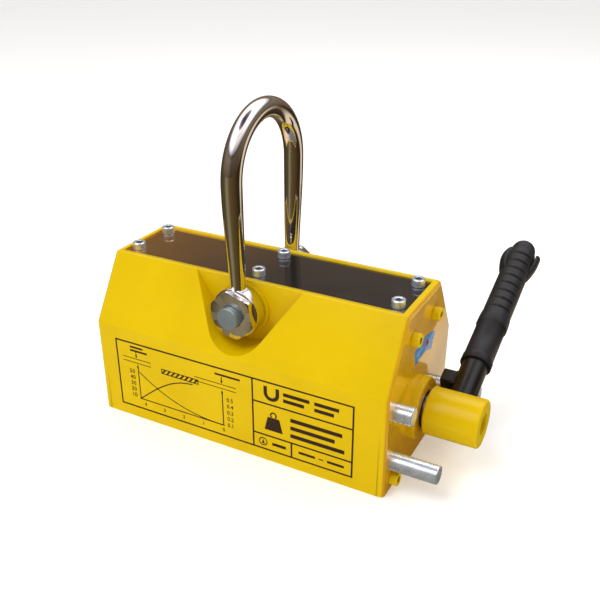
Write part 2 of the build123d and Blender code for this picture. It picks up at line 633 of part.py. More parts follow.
def detent_spring():
    """The coil behind the detent ball, drawn as its turns."""
    middle = CATCH_START + CATCH_LENGTH / 2
    start = TUBE_BORE - DETENT_BALL_RADIUS - DETENT_SPRING_LENGTH + DETENT_WIRE
    length = DETENT_SPRING_LENGTH - DETENT_BALL_RADIUS - 2 * DETENT_WIRE
    coil_radius = DETENT_BALL_RADIUS - DETENT_WIRE
    path = Helix(pitch=length / DETENT_TURNS, height=length, radius=coil_radius)
    section = Plane(origin=path @ 0, z_dir=path % 0) * Circle(DETENT_WIRE / 2)
    coil = sweep(section, path=path, is_frenet=True)
    return on_lever(Pos(start, 0, middle) * Rot(0, 90, 0) * coil)


def shackle():
    """The forged shackle: a round bow whose legs end in flat eyes."""
    arch_plane = Plane(origin=(PIVOT_X, 0, BOW_CENTRE_Z), x_dir=(0, 1, 0), z_dir=(1, 0, 0))
    path = arch_plane * CenterArc((0, 0), BOW_HALF_WIDTH, 0, 180)
    section = Plane(origin=(PIVOT_X, BOW_HALF_WIDTH, BOW_CENTRE_Z)) * Circle(BOW_ROD_RADIUS)
    bow = sweep(section, path=path)
    for side in (-1, 1):
        bow += shackle_leg(side)
    return bow


def shackle_leg(side):
    """One leg of the shackle with its eye."""
    eye = rod_y(EYE_RADIUS, side * EYE_INNER_Y, side * EYE_OUTER_Y, PIVOT_X, PIVOT_Z)
    eye = fillet(eye.edges().filter_by(GeomType.CIRCLE), EYE_EDGE)
    neck_y = side * EYE_MIDDLE_Y
    stations = [
        ((PIVOT_X, neck_y, PIVOT_Z), LEG_NECK_RADIUS),
        ((PIVOT_X, neck_y, LEG_NECK_TOP), LEG_NECK_RADIUS),
        ((PIVOT_X, side * BOW_HALF_WIDTH, BOW_CENTRE_Z), BOW_ROD_RADIUS),
    ]
    sections = [(Plane(origin=place) * Circle(radius)).face() for place, radius in stations]
    leg = loft(sections, ruled=True)
    hole_radius = STUD_RADIUS + PIVOT_FIT
    hole_y = (side * (EYE_INNER_Y - CUT_MARGIN), side * (EYE_OUTER_Y + CUT_MARGIN))
    hole = rod_y(hole_radius, *hole_y, PIVOT_X, PIVOT_Z)
    return leg + eye - hole


def shackle_stud(side):
    """The stud that a shackle eye turns on."""
    y_range = (side * (PAD_Y - STUD_SEAT), side * (NUT_OUTER_Y + STUD_STAND_OUT))
    stud = rod_y(STUD_RADIUS, *y_range, PIVOT_X, PIVOT_Z)
    circles = stud.edges().filter_by(GeomType.CIRCLE).sort_by(Axis.Y)
    return chamfer(circles[-1] if side > 0 else circles[0], STUD_CHAMFER)


def shackle_nut(side):
    """The thin hexagon nut outside a shackle eye."""
    hexagon = RegularPolygon(NUT_ACROSS_FLATS / 2, 6, major_radius=False, rotation=NUT_TURN)
    nut = extrude(hexagon, NUT_THICKNESS)
    cone = Cone(NUT_CORNER_RADIUS, NUT_CORNER_RADIUS - NUT_BEVEL, NUT_BEVEL)
    ring = Cylinder(2 * NUT_CORNER_RADIUS, NUT_BEVEL) - cone
    nut -= Pos(0, 0, NUT_THICKNESS - NUT_BEVEL / 2) * ring
    nut -= Cylinder(STUD_RADIUS, 2 * NUT_THICKNESS + CUT_MARGIN)
    turn = Rot(90, 0, 0) if side < 0 else Rot(-90, 0, 0)
    return Pos(PIVOT_X, side * NUT_INNER_Y, PIVOT_Z) * turn * nut


def rating_label():
    """The thin rating label on the front face."""
    y_range = (-BODY_HALF_WIDTH - LABEL_THICKNESS, -BODY_HALF_WIDTH)
    x_range = (RATING_LABEL_LEFT_INSET - PLATE_X, PLATE_X - RATING_LABEL_RIGHT_INSET)
    z_range = (RATING_LABEL_Z_START, CREASE_HEIGHT - RATING_LABEL_TOP_INSET)
    return block(x_range, y_range, z_range)


def direction_label():
    """The thin arc label above the hub that shows the way the lever turns."""
    start, end = ARC_LABEL_ANGLES
    outer = ARC_LABEL_INNER + ARC_LABEL_WIDTH
    sector = make_face(
        CenterArc((0, 0), outer, start, end - start)
        + CenterArc((0, 0), ARC_LABEL_INNER, start, end - start)
        + Line(polar(ARC_LABEL_INNER, start), polar(outer, start))
        + Line(polar(ARC_LABEL_INNER, end), polar(outer, end))
    )
    return Pos(0, 0, ROTOR_AXIS_Z) * extrude(Plane.YZ.offset(PLATE_X) * sector, LABEL_THICKNESS)


def polar(radius, angle):
    """A point at a radius and an angle in degrees."""
    return (radius * cos(radians(angle)), radius * sin(radians(angle)))


def write(name, shape):
    """Write one sub-part, or a group of separate solids, as its STEP file."""
    if isinstance(shape, list):
        shape = Compound(children=[piece.solid() for piece in shape])
    export_step(shape, f"parts/{name}.step")


def build_parts():
    """Every sub-part by name."""
    return {
        "pole_block_front": pole_block(-1),
        "pole_block_back": pole_block(1),
        "base_strip": base_strip(),
        "spacer_strip": spacer_strip(),
        "stator_magnets": stator_magnets(),
        "top_plate": top_plate(),
        "top_plate_screws": top_plate_screws(),
        "drive_end_plate": end_plate(1),
        "blind_end_plate": end_plate(-1),
        "drive_end_screws": end_plate_screws(1),
        "blind_end_screws": end_plate_screws(-1),
        "drive_shaft_bush": shaft_bush(1),
        "blind_shaft_bush": shaft_bush(-1),
        "drive_thrust_washer": thrust_washer(1),
        "blind_thrust_washer": thrust_washer(-1),
        "shaft_seal": shaft_seal(),
        "dust_cap": dust_cap(),
        "off_stop_pin": stop_pin(OFF_PIN_YZ, LONG_PIN_LENGTH),
        "on_stop_pin": stop_pin(ON_PIN_YZ, LONG_PIN_LENGTH),
        "lock_pin": stop_pin(LOCK_PIN_YZ, SHORT_PIN_LENGTH),
        "rating_label": rating_label(),
        "direction_label": direction_label(),
        "shackle_stud_front": shackle_stud(-1),
        "shackle_stud_back": shackle_stud(1),
        "shackle_nut_front": shackle_nut(-1),
        "shackle_nut_back": shackle_nut(1),
        "shackle": shackle(),
        "rotor_segment_front": rotor_segment(-1),
        "rotor_segment_back": rotor_segment(1),
        "rotor_magnets": rotor_magnets(),
        "rotor_screws": rotor_screws(),
        "drive_shaft_flange": drive_shaft_flange(),
        "blind_shaft_flange": shaft_flange(-1, BOSS_X - DUST_CAP_LIP - BLIND_SHAFT_GAP),
        "hub_key": key_solid(),
        "lever_hub": lever_hub(),
        "hub_screw": hub_screw(),
        "lever_tube": lever_tube(),
        "lever_grip": lever_grip(),
        "catch_nose": catch_nose(),
        "catch_slider": catch_slider(),
        "catch_detent_ball": detent_ball(),
        "catch_detent_spring": detent_spring(),
    }


os.makedirs("parts", exist_ok=True)
for part_name, part_shape in build_parts().items():
    write(part_name, part_shape)
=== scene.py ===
"""Visual model of a hand-operated permanent lifting magnet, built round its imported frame.

Lengths are in metres. +X runs to the lever end, +Y to the back and +Z up. The origin is in the middle of the
pole face.
"""

import json
import logging
import math
from collections.abc import Callable, Sequence
from dataclasses import dataclass, field
from enum import Enum

import bmesh
import bpy
from mathutils import Matrix, Vector


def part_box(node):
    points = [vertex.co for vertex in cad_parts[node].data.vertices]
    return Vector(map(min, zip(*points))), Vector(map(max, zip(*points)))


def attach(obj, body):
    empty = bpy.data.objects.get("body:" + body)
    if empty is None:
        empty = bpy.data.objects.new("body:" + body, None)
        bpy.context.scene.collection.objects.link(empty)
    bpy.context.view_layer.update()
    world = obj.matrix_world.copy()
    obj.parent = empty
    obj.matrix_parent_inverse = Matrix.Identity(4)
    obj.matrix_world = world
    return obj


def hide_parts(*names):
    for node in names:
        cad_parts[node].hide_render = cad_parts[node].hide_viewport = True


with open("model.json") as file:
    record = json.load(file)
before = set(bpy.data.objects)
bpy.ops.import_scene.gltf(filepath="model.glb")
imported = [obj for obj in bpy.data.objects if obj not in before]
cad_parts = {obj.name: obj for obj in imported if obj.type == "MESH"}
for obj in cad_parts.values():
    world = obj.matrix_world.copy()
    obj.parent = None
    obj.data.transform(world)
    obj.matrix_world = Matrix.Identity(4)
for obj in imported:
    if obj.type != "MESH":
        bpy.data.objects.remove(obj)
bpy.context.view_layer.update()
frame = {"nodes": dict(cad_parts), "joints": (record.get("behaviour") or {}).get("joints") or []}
log = logging.getLogger("lifting_magnet")

MM = 0.001
Point = tuple[float, float]
Ring = list[Vector]


class Body(str, Enum):
    """The bodies that move apart from each other."""

    HOUSING = "housing"
    SHACKLE = "shackle"
    ROTOR = "rotor"
    CATCH = "catch"


class Direction(Enum):
    """Directions that a row of screws can face."""

    UP = (0.0, 0.0, 1.0)
    LEVER_END = (1.0, 0.0, 0.0)
    BLIND_END = (-1.0, 0.0, 0.0)


# ---------------------------------------------------------------- node graphs


@dataclass
class Graph:
    """A node tree with short calls to add and join nodes."""

    tree: bpy.types.NodeTree

    def add(self, kind: str, inputs: dict[str, object] | None = None, **settings: object) -> bpy.types.Node:
        """Adds a node.

        Args:
            kind: The node's type name.
            inputs: Socket values by name; an output socket is linked, anything else is set.
            **settings: Properties of the node itself.

        Returns:
            The new node.
        """
        node = self.tree.nodes.new(kind)
        for name, value in settings.items():
            setattr(node, name, value)
        for name, value in (inputs or {}).items():
            socket = next(s for s in node.inputs if s.name == name and s.enabled)
            self.feed(socket, value)
        return node

    def feed(self, socket: bpy.types.NodeSocket, value: object) -> None:
        """Links an output socket to an input, or sets the input's value."""
        if isinstance(value, bpy.types.NodeSocket):
            self.tree.links.new(value, socket)
        else:
            socket.default_value = value

    def math(self, operation: str, first: object, second: object = 0.0) -> bpy.types.NodeSocket:
        """Adds a Math node and returns its result."""
        node = self.add("ShaderNodeMath", operation=operation)
        self.feed(node.inputs[0], first)
        self.feed(node.inputs[1], second)
        return node.outputs[0]

    def span(
        self, value: object, low: float, high: float, to_low: float = 0.0, to_high: float = 1.0
    ) -> bpy.types.NodeSocket:
        """Maps a value from one range to another, clamped, and returns the result."""
        inputs = {"Value": value, "From Min": low, "From Max": high, "To Min": to_low, "To Max": to_high}
        return self.add("ShaderNodeMapRange", inputs).outputs[0]

    def blend(self, factor: object, first: object, second: object) -> bpy.types.NodeSocket:
        """Mixes two colours and returns the result."""
        node = self.add("ShaderNodeMix", {"Factor": factor, "A": first, "B": second}, data_type="RGBA")
        return next(s for s in node.outputs if s.enabled)


def new_group(
    name: str, kind: str, inputs: dict[str, tuple], outputs: dict[str, str]
) -> tuple[Graph, dict, dict]:
    """Makes a node group with named sockets.

    Args:
        name: The group's name.
        kind: ShaderNodeTree or GeometryNodeTree.
        inputs: Socket kind and default value, or kind alone, by name.
        outputs: Socket kind by name.

    Returns:
        The graph, its input sockets by name and its output sockets by name.
    """
    tree = bpy.data.node_groups.new(name, kind)
    for label, (socket_kind, *default) in inputs.items():
        socket = tree.interface.new_socket(label, in_out="INPUT", socket_type=socket_kind)
        if default:
            socket.default_value = default[0]
    for label, socket_kind in outputs.items():
        tree.interface.new_socket(label, in_out="OUTPUT", socket_type=socket_kind)
    graph = Graph(tree)
    entry = graph.add("NodeGroupInput")
    leave = graph.add("NodeGroupOutput")
    return graph, {s.name: s for s in entry.outputs if s.name}, {s.name: s for s in leave.inputs if s.name}


# ---------------------------------------------------------------- effects shared by finishes


class Effects:
    """Shader node groups that several finishes use, each built once."""

    def __init__(self) -> None:
        """Builds every group."""
        self.mottle = self._mottle()
        self.grain = self._grain()
        self.specks = self._specks()

    @staticmethod
    def _mottle() -> bpy.types.NodeTree:
        """Soft cloudy variation over a surface, with a fine skin for bump."""
        sockets = {"Cloud Scale": ("NodeSocketFloat", 20.0), "Skin Scale": ("NodeSocketFloat", 900.0)}
        outputs = {"Cloud": "NodeSocketFloat", "Skin": "NodeSocketFloat"}
        graph, given, made = new_group("cloud_and_skin", "ShaderNodeTree", sockets, outputs)
        place = graph.add("ShaderNodeTexCoord").outputs["Object"]
        cloud = {"Vector": place, "Scale": given["Cloud Scale"], "Detail": 4.0, "Roughness": 0.55}
        skin = {"Vector": place, "Scale": given["Skin Scale"], "Detail": 2.0}
        graph.feed(made["Cloud"], graph.add("ShaderNodeTexNoise", cloud).outputs["Fac"])
        graph.feed(made["Skin"], graph.add("ShaderNodeTexNoise", skin).outputs["Fac"])
        return graph.tree

    @staticmethod
    def _grain() -> bpy.types.NodeTree:
        """Fine parallel streaks of a ground or brushed metal."""
        sockets = {"Stretch": ("NodeSocketVector", (12.0, 900.0, 900.0)), "Scale": ("NodeSocketFloat", 1.0)}
        outputs = {"Streak": "NodeSocketFloat"}
        graph, given, made = new_group("brushed_grain", "ShaderNodeTree", sockets, outputs)
        place = graph.add("ShaderNodeTexCoord").outputs["Object"]
        stretched = graph.add("ShaderNodeVectorMath", operation="MULTIPLY")
        graph.feed(stretched.inputs[0], place)
        graph.feed(stretched.inputs[1], given["Stretch"])
        noise = {"Vector": stretched.outputs[0], "Scale": given["Scale"], "Detail": 3.0, "Roughness": 0.6}
        graph.feed(made["Streak"], graph.add("ShaderNodeTexNoise", noise).outputs["Fac"])
        return graph.tree

    @staticmethod
    def _specks() -> bpy.types.NodeTree:
        """Small scattered marks: dust, pits or knocks, as a mask from 0 to 1."""
        sockets = {"Scale": ("NodeSocketFloat", 250.0), "Amount": ("NodeSocketFloat", 0.2)}
        outputs = {"Mask": "NodeSocketFloat"}
        graph, given, made = new_group("scattered_specks", "ShaderNodeTree", sockets, outputs)
        place = graph.add("ShaderNodeTexCoord").outputs["Object"]
        cells = graph.add("ShaderNodeTexVoronoi", {"Vector": place, "Scale": given["Scale"]})
        spots = graph.span(cells.outputs["Distance"], 0.05, 0.22, 1.0, 0.0)
        broad = {"Vector": place, "Scale": 60.0, "Detail": 2.0}
        patches = graph.add("ShaderNodeTexNoise", broad).outputs["Fac"]
        limit = graph.math("SUBTRACT", 0.75, graph.math("MULTIPLY", given["Amount"], 0.4))
        shown = graph.math("GREATER_THAN", patches, limit)
        graph.feed(made["Mask"], graph.math("MULTIPLY", spots, shown))
        return graph.tree


effects = Effects()


# ---------------------------------------------------------------- finishes


@dataclass(frozen=True)
class Finish:
    """A surface finish. Colours are linear RGB."""

    name: str
    slot: str
    colour: tuple[float, float, float]
    second: tuple[float, float, float]
    metallic: float = 0.0
    roughness: float = 0.4
    roughness_spread: float = 0.1
    cloud_scale: float = 18.0
    skin_scale: float = 900.0
    skin_height: float = 0.00002
    coat: float = 0.0
    coat_roughness: float = 0.05
    specks: float = 0.0
    speck_scale: float = 260.0
    speck_colour: tuple[float, float, float] = (0.25, 0.22, 0.18)
    stretch: tuple[float, float, float] | None = None
    specular: float = 0.5
    # A second colour that the finish runs to along X: a painted reflection on the top plate.
    painted_reflection_colour: tuple[float, float, float] | None = None
    painted_reflection_from: float = 0.0
    painted_reflection_to: float = 0.1

    def build(self) -> bpy.types.Material:
        """Builds the finish once.

        Returns:
            Its material.
        """
        ready = bpy.data.materials.get(self.name)
        if ready:
            return ready
        material = bpy.data.materials.new(self.name)
        material.use_nodes = True
        graph = Graph(material.node_tree)
        shader = material.node_tree.nodes["Principled BSDF"]
        body = graph.add("ShaderNodeGroup", node_tree=effects.mottle)
        body.inputs["Cloud Scale"].default_value = self.cloud_scale
        body.inputs["Skin Scale"].default_value = self.skin_scale
        cloud, height = body.outputs["Cloud"], body.outputs["Skin"]
        colour = graph.blend(graph.span(cloud, 0.35, 0.65), (*self.colour, 1.0), (*self.second, 1.0))
        # Painted reflection: the colour runs to a second colour along X.
        if self.painted_reflection_colour:
            place = graph.add("ShaderNodeTexCoord").outputs["Object"]
            along = graph.add("ShaderNodeSeparateXYZ", {"Vector": place}).outputs["X"]
            share = graph.span(along, self.painted_reflection_from, self.painted_reflection_to)
            colour = graph.blend(share, colour, (*self.painted_reflection_colour, 1.0))
        low, high = self.roughness - self.roughness_spread, self.roughness + self.roughness_spread
        rough = graph.span(cloud, 0.3, 0.7, max(low, 0.02), high)
        if self.stretch:
            grain = graph.add("ShaderNodeGroup", node_tree=effects.grain)
            grain.inputs["Stretch"].default_value = self.stretch
            streak = grain.outputs["Streak"]
            change = graph.span(streak, 0.3, 0.7, -self.roughness_spread, self.roughness_spread)
            rough = graph.math("ADD", rough, change)
            height = streak
        if self.specks:
            marks = graph.add("ShaderNodeGroup", node_tree=effects.specks)
            marks.inputs["Amount"].default_value = self.specks
            marks.inputs["Scale"].default_value = self.speck_scale
            mask = marks.outputs["Mask"]
            share = graph.math("MULTIPLY", mask, min(1.0, self.specks + 0.3))
            colour = graph.blend(share, colour, (*self.speck_colour, 1.0))
            rough = graph.math("ADD", rough, graph.math("MULTIPLY", mask, 0.15))
        bump = graph.add("ShaderNodeBump", {"Strength": 0.6, "Distance": self.skin_height, "Height": height})
        graph.feed(shader.inputs["Base Color"], colour)
        graph.feed(shader.inputs["Roughness"], rough)
        graph.feed(shader.inputs["Normal"], bump.outputs["Normal"])
        shader.inputs["Metallic"].default_value = self.metallic
        shader.inputs["Specular IOR Level"].default_value = self.specular
        shader.inputs["Coat Weight"].default_value = self.coat
        shader.inputs["Coat Roughness"].default_value = self.coat_roughness
        return material


ENAMEL = Finish(
    "yellow_enamel", "yellow_paint", (0.81, 0.55, 0.0), (0.75, 0.50, 0.0), roughness=0.42,
    roughness_spread=0.05, cloud_scale=14.0, skin_scale=420.0, skin_height=0.00003, coat=0.4,
    coat_roughness=0.05,
    specks=0.04, speck_scale=180.0, speck_colour=(0.42, 0.25, 0.02), specular=0.08,
)
# Painted shade: a darker, more orange copy of the yellow enamel for the end plates' faces that point along X,
# so that the end faces look shaded.
SHADED_END_ENAMEL = Finish(
    "yellow_end_enamel_painted_shade", "yellow_paint", (0.74, 0.40, 0.0), (0.68, 0.33, 0.0), roughness=0.30,
    roughness_spread=0.05, cloud_scale=22.0, skin_scale=260.0, skin_height=0.00003, coat=1.0,
    coat_roughness=0.03,
    specks=0.06, speck_scale=160.0, speck_colour=(0.35, 0.18, 0.02), specular=0.3,
)
# Painted shade: a darker copy of the yellow enamel inside the painted screws' hex sockets, for the shade in the
# recess.
SHADED_SOCKET_ENAMEL = Finish(
    "shaded_socket_enamel", "yellow_paint", (0.36, 0.13, 0.0), (0.28, 0.09, 0.0), roughness=0.5, specular=0.2,
)
# Painted reflection: the plate's colour runs from a warm brown at the blind end to a dark grey from the middle
# on to the lever end, standing in for what the polished plate reflects.
TOP_STEEL = Finish(
    "polished_steel_painted_reflection", "polished_plate", (0.80, 0.52, 0.24), (0.70, 0.45, 0.22), metallic=1.0,
    roughness=0.10, roughness_spread=0.05, cloud_scale=40.0, skin_height=0.000003,
    stretch=(14.0, 1400.0, 300.0), painted_reflection_colour=(0.20, 0.20, 0.23), painted_reflection_from=-0.12, painted_reflection_to=0.01,
)
ZINC = Finish(
    "bright_zinc", "zinc_screws", (0.88, 0.95, 1.0), (0.66, 0.76, 0.88), metallic=0.75, roughness=0.22,
    roughness_spread=0.1, cloud_scale=120.0, skin_scale=1600.0, skin_height=0.00002, specks=0.25,
    speck_scale=420.0, speck_colour=(0.20, 0.23, 0.28),
)
# Painted shade: a darker copy of the zinc finish inside the top screws' hex sockets, for the shade in the
# recess.
SHADED_SOCKET_ZINC = Finish(
    "shaded_socket_zinc", "zinc_screws", (0.34, 0.40, 0.50), (0.22, 0.27, 0.35), metallic=0.5, roughness=0.3,
)
PIN_ZINC = Finish(
    "mottled_zinc", "chrome_pins", (0.90, 0.96, 1.0), (0.58, 0.66, 0.74), metallic=0.7, roughness=0.24,
    roughness_spread=0.1, cloud_scale=150.0, skin_scale=900.0, skin_height=0.00005, specks=0.45,
    speck_scale=330.0, speck_colour=(0.16, 0.18, 0.21),
)
CHROME = Finish(
    "forging_chrome", "shackle_chrome", (0.80, 0.78, 0.75), (0.74, 0.71, 0.67), metallic=1.0, roughness=0.06,
    roughness_spread=0.03, cloud_scale=30.0, skin_scale=160.0, skin_height=0.00002, specks=0.03,
    speck_scale=140.0, speck_colour=(0.22, 0.19, 0.16),
)
STUD = Finish(
    "matt_grey_plating", "stud_steel", (0.34, 0.40, 0.41), (0.28, 0.34, 0.36), metallic=0.6, roughness=0.42,
    roughness_spread=0.1, cloud_scale=90.0, skin_scale=1500.0, skin_height=0.00003, specks=0.2,
    speck_scale=500.0, speck_colour=(0.18, 0.21, 0.21),
)
LEVER_BLACK = Finish(
    "black_lever_enamel", "lever_steel", (0.007, 0.006, 0.006), (0.012, 0.010, 0.009), roughness=0.30,
    roughness_spread=0.08, cloud_scale=50.0, skin_scale=500.0, skin_height=0.00003, coat=0.12,
    coat_roughness=0.12, specular=0.22,
)
RUBBER = Finish(
    "moulded_rubber", "black_rubber", (0.009, 0.009, 0.011), (0.015, 0.014, 0.016), roughness=0.50,
    roughness_spread=0.08, cloud_scale=60.0, skin_scale=2600.0, skin_height=0.00006, specks=0.08,
    speck_scale=700.0, speck_colour=(0.05, 0.045, 0.04), specular=0.35,
)
INK = Finish(
    "black_print", "rating_print", (0.035, 0.012, 0.006), (0.05, 0.02, 0.01), roughness=0.45, skin_scale=3000.0,
)
BLUE_FOIL = Finish(
    "blue_foil", "arc_print", (0.02, 0.20, 0.50), (0.03, 0.26, 0.58), roughness=0.3, coat=0.5, skin_scale=700.0,
)
WHITE_INK = Finish("pale_print", "arc_print", (0.22, 0.42, 0.70), (0.18, 0.36, 0.64), roughness=0.4)
RED_INK = Finish("red_print", "arc_print", (0.50, 0.02, 0.03), (0.42, 0.02, 0.03), roughness=0.35)
MAGNET = Finish(
    "nickel_plating", "magnet_nickel", (0.48, 0.47, 0.44), (0.42, 0.41, 0.38), metallic=1.0, roughness=0.25,
    specks=0.1,
)
ROTOR_IRON = Finish(
    "turned_iron", "rotor_iron", (0.30, 0.30, 0.31), (0.24, 0.24, 0.25), metallic=1.0, roughness=0.35,
    stretch=(900.0, 60.0, 60.0), skin_height=0.00001, specks=0.1,
)
BLACK_OXIDE = Finish(
    "black_oxide", "inner_screws", (0.03, 0.03, 0.032), (0.05, 0.045, 0.045), metallic=0.8, roughness=0.4,
    specks=0.1,
)
BRONZE = Finish(
    "turned_bronze", "bronze", (0.48, 0.28, 0.09), (0.40, 0.22, 0.07), metallic=1.0, roughness=0.35,
    stretch=(40.0, 700.0, 700.0), skin_height=0.00001, specks=0.1, speck_colour=(0.20, 0.12, 0.05),
)
SEAL_RUBBER = Finish("seal_rubber", "seal_rubber", (0.16, 0.075, 0.01), (0.09, 0.04, 0.01), roughness=0.5)
BRIGHT_STEEL = Finish(
    "hardened_steel", "detent_steel", (0.50, 0.50, 0.52), (0.44, 0.44, 0.46), metallic=1.0, roughness=0.2,
    specks=0.05,
)


# ---------------------------------------------------------------- mesh making


def piece(name: str, mesh: bpy.types.Mesh) -> bpy.types.Object:
    """Links a mesh as a piece at the origin and returns its object."""
    mesh.name = name
    made = bpy.data.objects.new(name, mesh)
    bpy.context.scene.collection.objects.link(made)
    return made


def settle(made: bpy.types.Object, body: Body, finish: Finish, *nodes: str) -> bpy.types.Object:
    """Puts a finished piece on its body.

    Args:
        made: The piece.
        body: The body that it moves with.
        finish: Not used.
        *nodes: The frame's nodes that it stands for.

    Returns:
        The same piece.
    """
    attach(made, body.value)
    if nodes:
        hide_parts(*nodes)
    log.info("%s: %d faces on %s", made.name, len(made.data.polygons), body.value)
    return made


def stacked(mesh: bmesh.types.BMesh, rings: Sequence[Ring], closed: bool = False, material: int = 0) -> None:
    """Adds a solid made of rings of equal count, one above the other.

    Args:
        mesh: The mesh to add to.
        rings: Rings of points; a ring of one point is a pole.
        closed: Whether the last ring joins the first, instead of both ends being capped.
        material: The material's index.
    """
    rows = [[mesh.verts.new(p) for p in ring] for ring in rings]
    pairs = list(zip(rows, rows[1:]))
    if closed:
        pairs.append((rows[-1], rows[0]))
    for low, high in pairs:
        count = max(len(low), len(high))
        for i in range(count):
            j = (i + 1) % count
            corners = [low[i % len(low)], low[j % len(low)], high[j % len(high)], high[i % len(high)]]
            distinct = [v for n, v in enumerate(corners) if v not in corners[:n]]
            mesh.faces.new(distinct).material_index = material
    if not closed:
        for row in (rows[0], rows[-1]):
            if len(row) > 2:
                mesh.faces.new(row).material_index = material


def circle(radius: float | Callable[[float], float], height: float, count: int = 64) -> Ring:
    """Points round the Z axis; the radius may depend on the angle."""
    if radius == 0.0:
        return [Vector((0.0, 0.0, height))]
    points = []
    for i in range(count):
        angle = math.tau * i / count
        reach = radius(angle) if callable(radius) else radius
        points.append(Vector((reach * math.cos(angle), reach * math.sin(angle), height)))
    return points


def hexagon(across_flats: float) -> Callable[[float], float]:
    """The distance from a hexagon's centre to its side, by angle."""
    third = math.pi / 3

    def reach(angle: float) -> float:
        """The reach at one angle."""
        return across_flats / 2 / math.cos((angle + third / 2) % third - third / 2)

    return reach


def arc(centre: Point, radius: float, start: float, end: float, steps: int) -> list[Point]:
    """Points along an arc between two angles in degrees."""
    angles = [math.radians(start + (end - start) * i / steps) for i in range(steps + 1)]
    return [(centre[0] + radius * math.cos(a), centre[1] + radius * math.sin(a)) for a in angles]


def finish_mesh(
    mesh: bmesh.types.BMesh, finishes: Sequence[Finish], place: Matrix | None = None, sharp: float = 35.0
) -> bpy.types.Mesh:
    """Turns a bmesh into a mesh with even normals.

    Args:
        mesh: The mesh being made; it is freed.
        finishes: Its materials in order.
        place: Where it goes.
        sharp: The angle in degrees from which an edge stays sharp.

    Returns:
        The mesh.
    """
    if place:
        mesh.transform(place)
    bmesh.ops.recalc_face_normals(mesh, faces=mesh.faces)
    result = bpy.data.meshes.new("made")
    mesh.to_mesh(result)
    mesh.free()
    for finish in finishes:
        result.materials.append(finish.build())
    result.shade_smooth()
    result.set_sharp_from_angle(angle=math.radians(sharp))
    return result


def weighted(mesh: bpy.types.Mesh) -> bpy.types.Mesh:
    """Returns the mesh with normals weighted by face area, so that flats stay flat beside rounded edges."""
    holder = bpy.data.objects.new("holder", mesh)
    bpy.context.scene.collection.objects.link(holder)
    modifier = holder.modifiers.new("even", "WEIGHTED_NORMAL")
    modifier.keep_sharp = True
    modifier.weight = 100
    return taken(holder)


def taken(holder: bpy.types.Object) -> bpy.types.Mesh:
    """Takes an object's evaluated mesh as a plain mesh and removes the object."""
    graph = bpy.context.evaluated_depsgraph_get()
    graph.update()
    ready = holder.evaluated_get(graph)
    result = bpy.data.meshes.new_from_object(ready, preserve_all_data_layers=True, depsgraph=graph)
    bpy.data.objects.remove(holder)
    return result


@dataclass(frozen=True)
class Softening:
    """How a frame node's sharp edges are rounded on a copy of it."""

    width: float
    segments: int = 3
    sharp_angle: float = 28.0

    def copy(
        self, node: str, finish: Finish, spare: Callable[[bmesh.types.BMEdge], bool] | None = None
    ) -> bpy.types.Mesh:
        """Copies a frame node with rounded edges.

        Args:
            node: The node's name.
            finish: The copy's finish.
            spare: Says which edges stay as they are.

        Returns:
            The copy's mesh.
        """
        mesh = bmesh.new()
        mesh.from_mesh(frame["nodes"][node].data)
        bmesh.ops.remove_doubles(mesh, verts=mesh.verts, dist=2e-6)
        bmesh.ops.dissolve_limit(mesh, angle_limit=math.radians(0.2), verts=mesh.verts, edges=mesh.edges)
        limit = math.radians(self.sharp_angle)
        edges = [e for e in mesh.edges if e.is_manifold and e.calc_face_angle(0.0) > limit]
        if spare:
            edges = [e for e in edges if not spare(e)]
        bmesh.ops.bevel(
            mesh, geom=edges, offset=self.width, segments=self.segments, profile=0.5, affect="EDGES",
            clamp_overlap=True,
        )
        for face in mesh.faces:
            face.material_index = 0
        return weighted(finish_mesh(mesh, [finish], sharp=self.sharp_angle + 12.0))


def dress(node: str, finish: Finish) -> None:
    """Gives a frame node that stays as it is its finish."""
    shown = frame["nodes"][node]
    shown.data.materials.clear()
    shown.data.materials.append(finish.build())


# ---------------------------------------------------------------- geometry node trees


@dataclass
class Tree:
    """A Geometry Nodes tree and the sockets that it is driven by."""

    graph: Graph
    given: dict[str, bpy.types.NodeSocket]
    made: dict[str, bpy.types.NodeSocket]

    def close(self, geometry: bpy.types.NodeSocket, inside: str = "") -> None:
        """Ends the tree: real geometry, smooth, with its material.

        Args:
            geometry: What the tree made.
            inside: The name of a face attribute whose faces get the inside material.
        """
        real = self.graph.add("GeometryNodeRealizeInstances", {"Geometry": geometry}).outputs[0]
        smooth = self.graph.add("GeometryNodeSetShadeSmooth", {"Geometry": real}).outputs[0]
        coat = {"Geometry": smooth, "Material": self.given["Material"]}
        painted = self.graph.add("GeometryNodeSetMaterial", coat)
        if inside:
            chosen = self.graph.add("GeometryNodeInputNamedAttribute", {"Name": inside}, data_type="BOOLEAN")
            values = {
                "Geometry": painted.outputs[0], "Selection": chosen.outputs["Attribute"],
                "Material": self.given["Inside Material"],
            }
            painted = self.graph.add("GeometryNodeSetMaterial", values)
        self.graph.feed(self.made["Geometry"], painted.outputs[0])

    def run(self, source: bpy.types.Mesh, values: dict[str, object]) -> bpy.types.Mesh:
        """Runs the tree on a mesh.

        Args:
            source: The mesh that it starts from.
            values: Its inputs by name.

        Returns:
            The plain mesh that it makes.
        """
        holder = bpy.data.objects.new("holder", source)
        bpy.context.scene.collection.objects.link(holder)
        modifier = holder.modifiers.new("tree", "NODES")
        modifier.node_group = self.graph.tree
        for socket in self.graph.tree.interface.items_tree:
            if socket.in_out == "INPUT" and socket.name in values:
                modifier[socket.identifier] = values[socket.name]
        return taken(holder)


def new_tree(name: str, **inputs: tuple) -> Tree:
    """Starts a geometry tree.

    Args:
        name: The tree's name.
        **inputs: Socket kind and default by name; an underscore stands for a space.

    Returns:
        The tree.
    """
    sockets: dict[str, tuple] = {"Geometry": ("NodeSocketGeometry",)}
    sockets.update({label.replace("_", " "): value for label, value in inputs.items()})
    sockets["Material"] = ("NodeSocketMaterial",)
    return Tree(*new_group(name, "GeometryNodeTree", sockets, {"Geometry": "NodeSocketGeometry"}))


